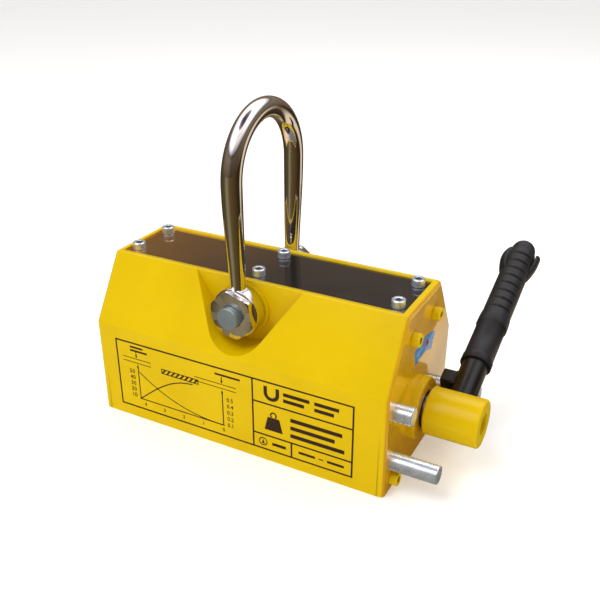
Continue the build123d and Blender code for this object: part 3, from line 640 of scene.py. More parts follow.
def screw_tree() -> Tree:
    """Places a copy of one screw on every point, facing one way, each turned by its own amount."""
    tree = new_tree(
        "screws_on_points", Screw=("NodeSocketObject",), Facing=("NodeSocketVector", (0.0, 0.0, 1.0)),
        Seed=("NodeSocketInt", 7), Inside_Material=("NodeSocketMaterial",),
    )
    graph, given = tree.graph, tree.given
    screw = graph.add("GeometryNodeObjectInfo", {"Object": given["Screw"], "As Instance": True})
    faced = graph.add("FunctionNodeAlignRotationToVector", {"Vector": given["Facing"]}, axis="Z").outputs[0]
    turn = graph.add("FunctionNodeRandomValue", {"Min": 0.0, "Max": math.tau, "Seed": given["Seed"]})
    about = {"Angle": turn.outputs["Value"], "Axis": (0.0, 0.0, 1.0)}
    spin = graph.add("FunctionNodeAxisAngleToRotation", about)
    both = {"Rotation": faced, "Rotate By": spin.outputs[0]}
    whole = graph.add("FunctionNodeRotateRotation", both, rotation_space="LOCAL")
    points = {"Points": given["Geometry"], "Instance": screw.outputs["Geometry"], "Rotation": whole.outputs[0]}
    tree.close(graph.add("GeometryNodeInstanceOnPoints", points).outputs[0], "socket")
    return tree


def rod_tree() -> Tree:
    """Sweeps a round section along a path; each point's rod_radius says how thick it is there."""
    tree = new_tree("rod_along_path", Sides=("NodeSocketInt", 48))
    graph, given = tree.graph, tree.given
    path = graph.add("GeometryNodeMeshToCurve", {"Mesh": given["Geometry"]}).outputs[0]
    radius = graph.add("GeometryNodeInputNamedAttribute", {"Name": "rod_radius"}, data_type="FLOAT")
    section = graph.add("GeometryNodeCurvePrimitiveCircle", {"Resolution": given["Sides"], "Radius": 1.0})
    rod = {
        "Curve": path, "Profile Curve": section.outputs[0], "Scale": radius.outputs["Attribute"],
        "Fill Caps": True,
    }
    tree.close(graph.add("GeometryNodeCurveToMesh", rod).outputs[0])
    return tree


def rib_tree() -> Tree:
    """Makes a row of short curved ribs about the Z axis, evenly spaced, on one side of the grip."""
    tree = new_tree(
        "row_of_ribs", Count=("NodeSocketInt", 8), Start=("NodeSocketVector", (0.0, 0.0, 0.1)),
        Step=("NodeSocketVector", (0.0, 0.0, 0.01)), Radius=("NodeSocketFloat", 0.013),
        Thickness=("NodeSocketFloat", 0.001), First_Angle=("NodeSocketFloat", 0.0),
        Sweep=("NodeSocketFloat", 2.0),
    )
    graph, given = tree.graph, tree.given
    line = {"Count": given["Count"], "Start Location": given["Start"], "Offset": given["Step"]}
    points = graph.add("GeometryNodeMeshLine", line).outputs[0]
    reach = {
        "Resolution": 40, "Radius": given["Radius"], "Start Angle": given["First Angle"],
        "Sweep Angle": given["Sweep"],
    }
    hoop = graph.add("GeometryNodeCurveArc", reach, mode="RADIUS")
    along = graph.add("GeometryNodeSplineParameter").outputs["Factor"]
    rise = graph.math("POWER", graph.math("SINE", graph.math("MULTIPLY", along, math.pi)), 0.6)
    taper = graph.math("ADD", graph.math("MULTIPLY", rise, 0.8), 0.2)
    wire = graph.add("GeometryNodeCurvePrimitiveCircle", {"Resolution": 16, "Radius": given["Thickness"]})
    swept = {"Curve": hoop.outputs[0], "Profile Curve": wire.outputs[0], "Scale": taper, "Fill Caps": True}
    rib = graph.add("GeometryNodeCurveToMesh", swept)
    ribs = {"Points": points, "Instance": rib.outputs[0]}
    tree.close(graph.add("GeometryNodeInstanceOnPoints", ribs).outputs[0])
    return tree


def bar_tree() -> Tree:
    """Places a thin upright bar on every point, leaning by one angle, as a printed hatch or scale marks."""
    tree = new_tree(
        "printed_bars", Size=("NodeSocketVector", (0.001, 0.0001, 0.001)), Lean=("NodeSocketFloat", 0.0),
    )
    graph, given = tree.graph, tree.given
    box = graph.add("GeometryNodeMeshCube", {"Size": given["Size"]}).outputs[0]
    lean = graph.add("FunctionNodeAxisAngleToRotation", {"Angle": given["Lean"], "Axis": (0.0, 1.0, 0.0)})
    bars = {"Points": given["Geometry"], "Instance": box, "Rotation": lean.outputs[0]}
    tree.close(graph.add("GeometryNodeInstanceOnPoints", bars).outputs[0])
    return tree


# ---------------------------------------------------------------- sub-assemblies


@dataclass
class Housing:
    """The painted pole blocks, end plates and dust cap, with their softened edges."""

    edge: float = 1.1 * MM
    cap_edge: float = 0.4 * MM
    seam_slack: float = 0.02 * MM

    def build(self) -> None:
        """Builds the four painted pieces and the blind end's cap."""
        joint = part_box("pole_block_front")[1].x
        for node in ("pole_block_front", "pole_block_back"):
            mesh = Softening(self.edge).copy(node, ENAMEL, self._on_seam(joint))
            settle(piece(f"{node}_painted", mesh), Body.HOUSING, ENAMEL, node)
        for node in ("drive_end_plate", "blind_end_plate"):
            # The end plates start in the darker enamel of painted shade, and only their end faces keep it.
            mesh = Softening(self.edge).copy(node, SHADED_END_ENAMEL, self._on_seam(joint))
            self._paint_outside(mesh)
            settle(piece(f"{node}_painted", mesh), Body.HOUSING, ENAMEL, node)
        cap = Softening(self.cap_edge).copy("dust_cap", ENAMEL)
        settle(piece("dust_cap_painted", cap), Body.HOUSING, ENAMEL, "dust_cap")

    def _on_seam(self, joint: float) -> Callable[[bmesh.types.BMEdge], bool]:
        """Makes a test of whether an edge lies where a block meets an end plate.

        Args:
            joint: How far the meeting planes are from the middle, along X.

        Returns:
            The test.
        """

        def test(edge: bmesh.types.BMEdge) -> bool:
            """Tests one edge."""
            ends = [v.co for v in edge.verts]
            return all(abs(abs(p.x) - joint) < self.seam_slack for p in ends)

        return test

    @staticmethod
    def _paint_outside(mesh: bpy.types.Mesh) -> None:
        """Gives the plate's rim the enamel of the blocks, and keeps on its end face the glossier coat and the
        darker orange colour of painted shade.
        """
        mesh.materials.append(ENAMEL.build())
        for face in mesh.polygons:
            if abs(face.normal.x) < 0.5:
                face.material_index = 1


@dataclass
class TopPlate:
    """The polished plate between the rims."""

    edge: float = 0.3 * MM

    def build(self) -> None:
        """Builds the plate."""
        mesh = Softening(self.edge, 2).copy("top_plate", TOP_STEEL)
        settle(piece("top_plate_polished", mesh), Body.HOUSING, TOP_STEEL, "top_plate")


@dataclass
class CapScrews:
    """Socket cap screws in three rows, every one a copy of the same M6 head."""

    head_radius: float = 5.2 * MM
    head_height: float = 6.2 * MM
    across_flats: float = 5.0 * MM
    socket_depth: float = 3.4 * MM
    socket_lead: float = 0.45 * MM
    socket_point: float = 1.2 * MM
    knurl_depth: float = 0.16 * MM
    knurls: int = 36
    low_band: float = 0.8 * MM
    high_band: float = 1.0 * MM
    band_step: float = 0.3 * MM
    chamfer: float = 0.55 * MM
    rim: float = 0.25 * MM
    shank: float = 3.0 * MM
    sides: int = 144

    def build(self) -> None:
        """Builds all rows."""
        tree = screw_tree()
        rows = [
            ("top_plate_screws", Direction.UP, ZINC, 5),
            ("drive_end_screws", Direction.LEVER_END, ENAMEL, 11),
            ("blind_end_screws", Direction.BLIND_END, ENAMEL, 17),
        ]
        for node, facing, finish, seed in rows:
            self._row(tree, node, facing, finish, seed)

    def _head(self, finish: Finish, knurled: bool) -> bpy.types.Object:
        """Makes one screw head with a short shank, its seat at the origin.

        Args:
            finish: Its finish.
            knurled: Whether its side is knurled.

        Returns:
            The head's object.
        """
        body, top = self.head_radius, self.head_height

        def knurl(angle: float) -> float:
            """The knurled side's radius."""
            wave = 0.5 + 0.5 * math.cos(angle * self.knurls)
            return body - self.knurl_depth * wave

        side = knurl if knurled else body
        socket = hexagon(self.across_flats)
        floor = top - self.socket_depth
        step, low_band, high_band, shank = self.band_step, self.low_band, top - self.high_band, self.shank
        outline = [
            (shank, -shank), (shank, 0.0), (body - step, 0.0), (body, step), (body, low_band),
            (side, low_band + step), (side, high_band - step), (body, high_band), (body, top - self.chamfer),
            (body - self.rim, top - step), (body - self.chamfer, top),
            (self._wider(socket, self.socket_lead), top), (socket, top - self.socket_lead), (socket, floor),
        ]
        rings = [circle(0.0, -shank)]
        rings += [circle(radius, height, self.sides) for radius, height in outline]
        rings += [circle(0.0, floor - self.socket_point)]
        mesh = bmesh.new()
        stacked(mesh, rings)
        mouth, low = top - 0.7 * MM, floor - 2 * MM
        reach = self.across_flats * 0.6
        layer = mesh.faces.layers.bool.new("socket")
        for face in mesh.faces:
            middle = face.calc_center_median()
            face[layer] = low < middle.z < mouth and middle.xy.length < reach
        return piece("screw_head", finish_mesh(mesh, [finish]))

    @staticmethod
    def _wider(reach: Callable[[float], float], extra: float) -> Callable[[float], float]:
        """The same outline, further out."""
        return lambda angle: reach(angle) + extra

    def _row(self, tree: Tree, node: str, facing: Direction, finish: Finish, seed: int) -> None:
        """Places the row of screws that stands for one node."""
        head = self._head(finish, knurled=finish is ZINC)
        points = bpy.data.meshes.new("spots")
        points.from_pydata(self._spots(node, Vector(facing.value)), [], [])
        # The socket's inside gets a darker copy of the head's finish: painted shade in the recess.
        inside = SHADED_SOCKET_ZINC if finish is ZINC else SHADED_SOCKET_ENAMEL
        values = {
            "Screw": head, "Facing": facing.value, "Seed": seed, "Material": finish.build(),
            "Inside Material": inside.build(),
        }
        mesh = tree.run(points, values)
        mesh.set_sharp_from_angle(angle=math.radians(40))
        bpy.data.objects.remove(head)
        settle(piece(f"{node}_knurled", mesh), Body.HOUSING, finish, node)

    def _spots(self, node: str, facing: Vector) -> list[Vector]:
        """The seat of each screw in a node, from the loose bodies in its mesh."""
        mesh = bmesh.new()
        mesh.from_mesh(frame["nodes"][node].data)
        bmesh.ops.remove_doubles(mesh, verts=mesh.verts, dist=2e-6)
        left = set(mesh.verts)
        seats = []
        while left:
            found, edge = set(), [left.pop()]
            while edge:
                vert = edge.pop()
                found.add(vert)
                edge += [e.other_vert(vert) for e in vert.link_edges if e.other_vert(vert) not in found]
            left -= found
            low = Vector([min(v.co[i] for v in found) for i in range(3)])
            high = Vector([max(v.co[i] for v in found) for i in range(3)])
            reach = max(v.co.dot(facing) for v in found)
            middle = (low + high) / 2
            seats.append(middle + facing * (reach - self.head_height - middle.dot(facing)))
        mesh.free()
        return sorted(seats, key=lambda p: tuple(round(c, 5) for c in p))


@dataclass
class Shackle:
    """The forged shackle: a round bow that tapers down both legs into flat eyes."""

    neck_radius: float = 5.9 * MM
    rod_radius: float = 7.8 * MM
    eye_edge: float = 1.6 * MM
    eye_thickness: float = 12.0 * MM
    clearance: float = 0.1 * MM
    foot_above_hole: float = 3.0 * MM
    sides: int = 56
    arch_steps: int = 72
    leg_steps: int = 22
    half_width: float = 0.0
    arch_centre: float = 0.0
    eye_radius: float = 0.0
    eye_inner: float = 0.0
    eye_outer: float = 0.0
    hole_radius: float = 0.0

    def build(self) -> None:
        """Builds the bow and its eyes as one piece."""
        low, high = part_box("shackle")
        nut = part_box("shackle_nut_front")
        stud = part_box("shackle_stud_front")
        pivot = Vector(next(j["pos_m"] for j in frame["joints"] if j["name"] == "shackle_swing"))
        self.half_width = high.y - self.rod_radius - self.clearance
        self.eye_radius = pivot.z - low.z
        self.eye_outer = abs(nut[1].y)
        self.eye_inner = self.eye_outer - self.eye_thickness
        self.hole_radius = (stud[1].z - stud[0].z) / 2 + self.clearance
        self.arch_centre = high.z - self.rod_radius - self.clearance - self.half_width
        path = bpy.data.meshes.new("bow_path")
        points, radii = self._route(pivot)
        path.from_pydata(points, [(i, i + 1) for i in range(len(points) - 1)], [])
        path.attributes.new("rod_radius", "FLOAT", "POINT").data.foreach_set("value", radii)
        bow = rod_tree().run(path, {"Sides": self.sides, "Material": CHROME.build()})
        mesh = bmesh.new()
        mesh.from_mesh(bow)
        for side in (-1, 1):
            self._eye(mesh, pivot, side)
        made = piece("shackle_forged", finish_mesh(mesh, [CHROME], sharp=45.0))
        settle(made, Body.SHACKLE, CHROME, "shackle")

    def _route(self, pivot: Vector) -> tuple[list[Vector], list[float]]:
        """The bow's centre line from the front eye to the back one, with its radius at each point."""
        neck_y = (self.eye_inner + self.eye_outer) / 2
        foot = pivot.z + self.hole_radius + self.foot_above_hole
        points, radii = [], []
        for i in range(self.leg_steps + 1):
            share = i / self.leg_steps
            height = foot + (self.arch_centre - foot) * share
            ease = share * share * (3 - 2 * share)
            points.append(Vector((pivot.x, -(neck_y + (self.half_width - neck_y) * ease), height)))
            radii.append(self.neck_radius + (self.rod_radius - self.neck_radius) * ease ** 0.8)
        for i in range(1, self.arch_steps):
            angle = math.pi * i / self.arch_steps
            across = -self.half_width * math.cos(angle)
            height = self.arch_centre + self.half_width * math.sin(angle)
            points.append(Vector((pivot.x, across, height)))
            radii.append(self.rod_radius)
        back = [(Vector((p.x, -p.y, p.z)), r) for p, r in zip(points[: self.leg_steps + 1], radii)]
        points += [p for p, _ in reversed(back)]
        radii += [r for _, r in reversed(back)]
        return points, radii

    def _eye(self, mesh: bmesh.types.BMesh, pivot: Vector, side: int) -> None:
        """Adds one eye: a flat ring with rounded edges about the stud."""
        edge = self.eye_edge
        inner, outer = self.hole_radius, self.eye_radius
        near, far = self.eye_inner, self.eye_outer
        profile = [(inner, near + 0.4 * MM), (inner + 0.4 * MM, near)]
        profile += arc((outer - edge, near + edge), edge, -90, 0, 6)
        profile += arc((outer - edge, far - edge), edge, 0, 90, 6)
        profile += [(inner + 0.4 * MM, far), (inner, far - 0.4 * MM)]
        ring = bmesh.new()
        stacked(ring, [circle(radius, height, 96) for radius, height in profile], closed=True)
        turn = Matrix.Rotation(math.radians(-90 * side), 4, "X")
        ring.transform(Matrix.Translation((pivot.x, 0.0, pivot.z)) @ turn)
        made = bpy.data.meshes.new("eye")
        ring.to_mesh(made)
        ring.free()
        mesh.from_mesh(made)


@dataclass
class ShacklePivots:
    """The two studs and hexagon nuts that the shackle swings on."""

    chamfer: float = 0.9 * MM
    turn_deg: float = 12.0
    across_flats: float = 35.0 * MM
    bore_gap: float = 0.02 * MM
    bore_edge: float = 0.7 * MM
    corner_cuts: tuple[Point, ...] = (
        (0.0, 0.5), (0.5, 0.0), (4.2, 0.0), (4.5, 0.3), (4.8, 0.8), (5.1, 1.4), (5.3, 1.9), (5.5, 2.5),
    )

    def build(self) -> None:
        """Builds both pivots."""
        for side, name in ((-1, "front"), (1, "back")):
            self._nut(side, f"shackle_nut_{name}")
            self._stud(side, f"shackle_stud_{name}")

    @staticmethod
    def _span(side: int, node: str) -> tuple[float, float]:
        """The inner end of a pivot piece and its length, along Y."""
        low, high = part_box(node)
        return abs(high.y if side < 0 else low.y), high.y - low.y

    @staticmethod
    def _placed(side: int, x: float, z: float) -> Matrix:
        """The frame of a pivot piece, whose Z runs out of the housing."""
        turn = Matrix.Rotation(math.radians(-90 * side), 4, "X")
        return Matrix.Translation((x, 0.0, z)) @ turn

    def _nut(self, side: int, node: str) -> None:
        """Builds one thin nut with its turned chamfer."""
        start, length = self._span(side, node)
        pivot = Vector(next(j["pos_m"] for j in frame["joints"] if j["name"] == "shackle_swing"))
        reach = hexagon(self.across_flats)
        turned = math.radians(self.turn_deg)
        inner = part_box(node.replace("nut", "stud"))[1].z - pivot.z + self.bore_gap
        corner = self.across_flats / 2 / math.cos(math.pi / 6)
        rings = [circle(inner, start, 96)]
        for height, back in self.corner_cuts:
            limit = corner - back * MM
            rings.append(circle(self._cut(reach, turned, limit), start + min(height * MM, length), 96))
        rings.append(circle(inner + self.bore_edge, start + length, 96))
        rings.append(circle(inner, start + length - self.bore_edge, 96))
        mesh = bmesh.new()
        stacked(mesh, rings, closed=True)
        made = finish_mesh(mesh, [CHROME], self._placed(side, pivot.x, pivot.z), 30.0)
        settle(piece(f"{node}_turned", made), Body.HOUSING, CHROME, node)

    @staticmethod
    def _cut(reach: Callable[[float], float], turned: float, limit: float) -> Callable[[float], float]:
        """A hexagon's outline, turned and cut by a circle."""
        return lambda angle: min(reach(angle - turned), limit)

    def _stud(self, side: int, node: str) -> None:
        """Builds one stud with a faintly domed, chamfered end."""
        start, length = self._span(side, node)
        low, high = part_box(node)
        radius = (high.z - low.z) / 2
        end = start + length
        rings = [circle(0.0, start), circle(radius, start), circle(radius, end - self.chamfer * 1.6)]
        edge = arc((radius - self.chamfer, end - self.chamfer), self.chamfer, 0, 75, 5)
        rings += [circle(r, z) for r, z in edge]
        rings += [circle(radius * 0.6, end - 0.05 * MM), circle(0.0, end)]
        mesh = bmesh.new()
        stacked(mesh, rings)
        made = finish_mesh(mesh, [STUD], self._placed(side, (low.x + high.x) / 2, (low.z + high.z) / 2))
        settle(piece(f"{node}_plated", made), Body.HOUSING, STUD, node)


@dataclass
class StopPins:
    """The three plated pins on the lever end."""

    chamfer: float = 1.0 * MM
    nodes: tuple[str, ...] = ("off_stop_pin", "on_stop_pin", "lock_pin")

    def build(self) -> None:
        """Builds the pins."""
        for node in self.nodes:
            low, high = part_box(node)
            radius = (high.z - low.z) / 2
            place = Matrix.Translation((0.0, (low.y + high.y) / 2, (low.z + high.z) / 2))
            place = place @ Matrix.Rotation(math.radians(90), 4, "Y")
            rings = [circle(0.0, low.x), circle(radius, low.x), circle(radius, high.x - self.chamfer)]
            edge = arc((radius - self.chamfer, high.x - self.chamfer), self.chamfer, 20, 80, 4)
            rings += [circle(r, z) for r, z in edge]
            rings += [circle(radius * 0.5, high.x - 0.02 * MM), circle(0.0, high.x)]
            mesh = bmesh.new()
            stacked(mesh, rings)
            made = finish_mesh(mesh, [PIN_ZINC], place)
            settle(piece(f"{node}_plated", made), Body.HOUSING, PIN_ZINC, node)


@dataclass
class Lever:
    """The hub, the lever tube and its rubber grip; the grip's sizes are in millimetres."""

    collar: tuple[float, float] = (52.0, 60.0)
    collar_radius: float = 12.6
    swell_start: float = 94.0
    swell_radius: float = 12.9
    guard: tuple[float, float] = (160.0, 186.5)
    rib_count: int = 8
    first_rib: float = 111.5
    rib_pitch: float = 9.6
    rib_thickness: float = 2.1
    rib_depth: float = 1.0
    rib_half_sweep_deg: float = 58.0
    core_radius: float = 12.0
    tip_radius: float = 10.4
    guard_radius: float = 16.6
    guard_wall: float = 1.8
    guard_open_deg: float = -70.0
    guard_half_open_deg: float = 58.0
    place: Matrix = field(default_factory=Matrix)
    length: float = 0.0

    def build(self) -> None:
        """Builds the lever's pieces."""
        self._find_place()
        hub = Softening(0.5 * MM).copy("lever_hub", ENAMEL)
        settle(piece("lever_hub_painted", hub), Body.ROTOR, ENAMEL, "lever_hub")
        tube = Softening(0.35 * MM, 2).copy("lever_tube", LEVER_BLACK)
        settle(piece("lever_tube_painted", tube), Body.ROTOR, LEVER_BLACK, "lever_tube")
        self._grip()

    def _find_place(self) -> None:
        """Finds the lever's own frame: its Z runs out along the lever, its X along the shaft."""
        along = Vector(next(j["axis"] for j in frame["joints"] if j["name"] == "catch_slide")).normalized()
        turn = next(j["pos_m"] for j in frame["joints"] if j["name"] == "lever_turn")
        low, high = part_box("lever_grip")
        across = Vector((1.0, 0.0, 0.0))
        side = along.cross(across)
        self.place = Matrix.Translation(((low.x + high.x) / 2, 0.0, turn[2]))
        self.place = self.place @ Matrix((across, side, along)).transposed().to_4x4()
        inverse = self.place.inverted()
        co = [inverse @ v.co for v in frame["nodes"]["lever_grip"].data.vertices]
        self.length = max(p.z for p in co) / MM

    def _grip(self) -> None:
        """Builds the rubber grip: core, ribs and the guard round its end."""
        mesh = bmesh.new()
        stacked(mesh, [circle(r * MM, z * MM, 72) for r, z in self._core_profile()], closed=True)
        values = {
            "Count": self.rib_count, "Start": (0.0, 0.0, self.first_rib * MM),
            "Step": (0.0, 0.0, self.rib_pitch * MM), "Radius": (self.core_radius - self.rib_depth) * MM,
            "Thickness": self.rib_thickness * MM,
            "First Angle": math.radians(self.guard_open_deg - self.rib_half_sweep_deg),
            "Sweep": math.radians(2 * self.rib_half_sweep_deg), "Material": RUBBER.build(),
        }
        mesh.from_mesh(rib_tree().run(bpy.data.meshes.new("start"), values))
        self._guard(mesh)
        made = piece("lever_grip_moulded", finish_mesh(mesh, [RUBBER], self.place, 45.0))
        settle(made, Body.ROTOR, RUBBER, "lever_grip")

    def _core_profile(self) -> list[Point]:
        """The grip's outline from its collar to its domed tip and back down its bore."""
        bore = (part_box("lever_tube")[1].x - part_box("lever_tube")[0].x) / 2 / MM + 0.03
        start, step = self.collar
        base = self.length - self.tip_radius
        band = base - 3.0
        core, lip = self.core_radius, self.collar_radius
        swell, full = self.swell_start, self.swell_radius
        outline = [(bore, start), (lip - 0.4, start), (lip, start + 0.5), (lip - 0.1, step - 1.2)]
        outline += [(lip - 0.3, step - 0.4), (core, step)]
        outline += [(core, swell - 0.8), (full - 0.3, swell - 0.2), (full, swell + 0.6)]
        outline += [(full - 0.1, swell + 6.0), (full - 0.4, swell + 12.0), (core, swell + 16.0)]
        outline += [(core, band - 3.0), (core - 0.4, band - 1.2), (core - 1.6, band - 0.4)]
        outline += [(self.tip_radius, band)]
        outline += arc((0.0, base), self.tip_radius, 0, 84, 12)
        outline += [(0.25, self.length), (0.25, base + 0.5), (bore, base + 0.5)]
        return outline

    def _guard(self, mesh: bmesh.types.BMesh) -> None:
        """Adds the guard: a bulged wall round the back of the grip's end, open on its upper side."""
        steps, turns = 14, 60
        start = self.guard_open_deg + self.guard_half_open_deg
        sweep = 360.0 - 2 * self.guard_half_open_deg
        rings = []
        for t in range(turns + 1):
            angle = math.radians(start + sweep * t / turns)
            fade = min(1.0, min(t, turns - t) / 3) ** 0.5
            section = self._guard_section(steps, fade, t / turns)
            across, side = math.cos(angle) * MM, math.sin(angle) * MM
            rings.append([Vector((r * across, r * side, z * MM)) for r, z in section])
        stacked(mesh, rings)

    def _guard_section(self, steps: int, fade: float, share: float) -> list[Point]:
        """The guard wall's section.

        Args:
            steps: How many points its outside has.
            fade: How full it is; it thins towards its two free ends.
            share: Where along the guard it is; the wall fills up and rounds over towards the far end.

        Returns:
            Its points as pairs of radius and height.
        """
        low, high = self.guard
        root = self.core_radius - 1.0
        full = max(0.0, (share - 0.55) / 0.45) ** 1.5
        foot = root + 0.6
        rounded = []
        for i in range(steps + 1):
            radius, height = self._bulge(i / steps, low, high)
            thinned = foot + (radius - foot) * (0.65 + 0.35 * fade)
            rounded.append((thinned - full * 4.2 * max(0.0, (i / steps - 0.45) / 0.55) ** 2, height))
        top_r, top_z = rounded[-1]
        wall = min(self.guard_wall + full * 6.0, top_r - root)
        inner = [(max(root, min(r - wall, top_r - wall)), z) for r, z in reversed(rounded[steps // 2:-1])]
        lip = [(top_r - 0.3, top_z + 0.5), (top_r - wall + 0.3, top_z + 0.5), (top_r - wall, top_z)]
        return [(root, low)] + rounded + lip + inner + [(root, rounded[steps // 2][1] - 1.0)]

    def _bulge(self, share: float, low: float, high: float) -> Point:
        """The guard's outside at a share of its length."""
        rise = math.sin(math.pi * min(1.0, share * 1.15) * 0.5) ** 0.8
        radius = self.core_radius + 0.4 + (self.guard_radius - self.core_radius - 0.4) * rise
        return radius, low + (high - low) * share


@dataclass
class SafetyCatch:
    """The catch's nose beside the lever, and its slider inside the tube."""

    edge: float = 0.5 * MM

    def build(self) -> None:
        """Builds the nose and dresses the inner pieces."""
        nose = Softening(self.edge, 2).copy("catch_nose", LEVER_BLACK)
        settle(piece("catch_nose_painted", nose), Body.CATCH, LEVER_BLACK, "catch_nose")
        dress("catch_slider", LEVER_BLACK)
        dress("catch_detent_ball", BRIGHT_STEEL)
        dress("catch_detent_spring", BRIGHT_STEEL)


@dataclass
class Printing:
    """Thin printed marks laid on a flat face, in the label's own millimetres."""

    origin: Vector
    right: Vector
    up: Vector
    out: Vector
    height: float = 0.06

    def __post_init__(self) -> None:
        """Starts an empty print."""
        self.mesh = bmesh.new()

    def at(self, x: float, y: float, lift: float = 0.0) -> Vector:
        """A point on the print."""
        return self.origin + (self.right * x + self.up * y + self.out * lift) * MM

    def stroke(self, points: Sequence[Point], width: float, ink: int = 0) -> None:
        """Adds a line of even width through points, with square ends.

        Args:
            points: The line's points.
            width: Its width.
            ink: The index of its material.
        """
        pairs = [Vector(p) for p in points]
        left, right = [], []
        for i, here in enumerate(pairs):
            before = pairs[max(i - 1, 0)]
            after = pairs[min(i + 1, len(pairs) - 1)]
            along = (after - before).normalized()
            normal = Vector((-along.y, along.x)) * width / 2
            left.append(here + normal)
            right.append(here - normal)
        rows = []
        for a, b in zip(left, right):
            rows.append([self.at(*a), self.at(*b), self.at(*b, self.height), self.at(*a, self.height)])
        stacked(self.mesh, rows, material=ink)

    def frame_box(self, low: Point, high: Point, width: float) -> None:
        """Adds a rectangle of four lines."""
        half = width / 2
        (x0, y0), (x1, y1) = low, high
        self.stroke([(x0 - half, y0), (x1 + half, y0)], width)
        self.stroke([(x0 - half, y1), (x1 + half, y1)], width)
        self.stroke([(x0, y0 + half), (x0, y1 - half)], width)
        self.stroke([(x1, y0 + half), (x1, y1 - half)], width)

    def patch(self, outline: Sequence[Point], ink: int = 0, lift: float = 0.0) -> None:
        """Adds a flat filled shape.

        Args:
            outline: Its corners in order.
            ink: The index of its material.
            lift: How far its underside is from the print's own face.
        """
        low = [self.mesh.verts.new(self.at(x, y, lift)) for x, y in outline]
        high = [self.mesh.verts.new(self.at(x, y, lift + self.height)) for x, y in outline]
        count = len(outline)
        faces = [self.mesh.faces.new(high), self.mesh.faces.new(low)]
        for i in range(count):
            j = (i + 1) % count
            faces.append(self.mesh.faces.new([low[i], low[j], high[j], high[i]]))
        for face in faces:
            face.material_index = ink

    def digits(self, text: str, x: float, y: float, size: float) -> None:
        """Adds a number.

        Args:
            text: Its digits.
            x: Its middle, to the right.
            y: Its middle, upwards.
            size: The height of its line.
        """
        curve = bpy.data.curves.new("number", "FONT")
        curve.body = text
        curve.size = size
        curve.align_x, curve.align_y = "CENTER", "CENTER"
        curve.extrude = self.height / 2
        curve.offset = size * 0.012
        curve.resolution_u = 3
        holder = bpy.data.objects.new("number", curve)
        bpy.context.scene.collection.objects.link(holder)
        flat = bpy.data.meshes.new_from_object(holder)
        bpy.data.objects.remove(holder)
        for vert in flat.vertices:
            vert.co = self.at(x + vert.co.x, y + vert.co.y, vert.co.z + self.height / 2)
        self.mesh.from_mesh(flat)

    def finished(self, name: str, finishes: Sequence[Finish]) -> bpy.types.Object:
        """Ends the print and returns its piece."""
        bmesh.ops.remove_doubles(self.mesh, verts=self.mesh.verts, dist=1e-7)
        return piece(name, finish_mesh(self.mesh, finishes))


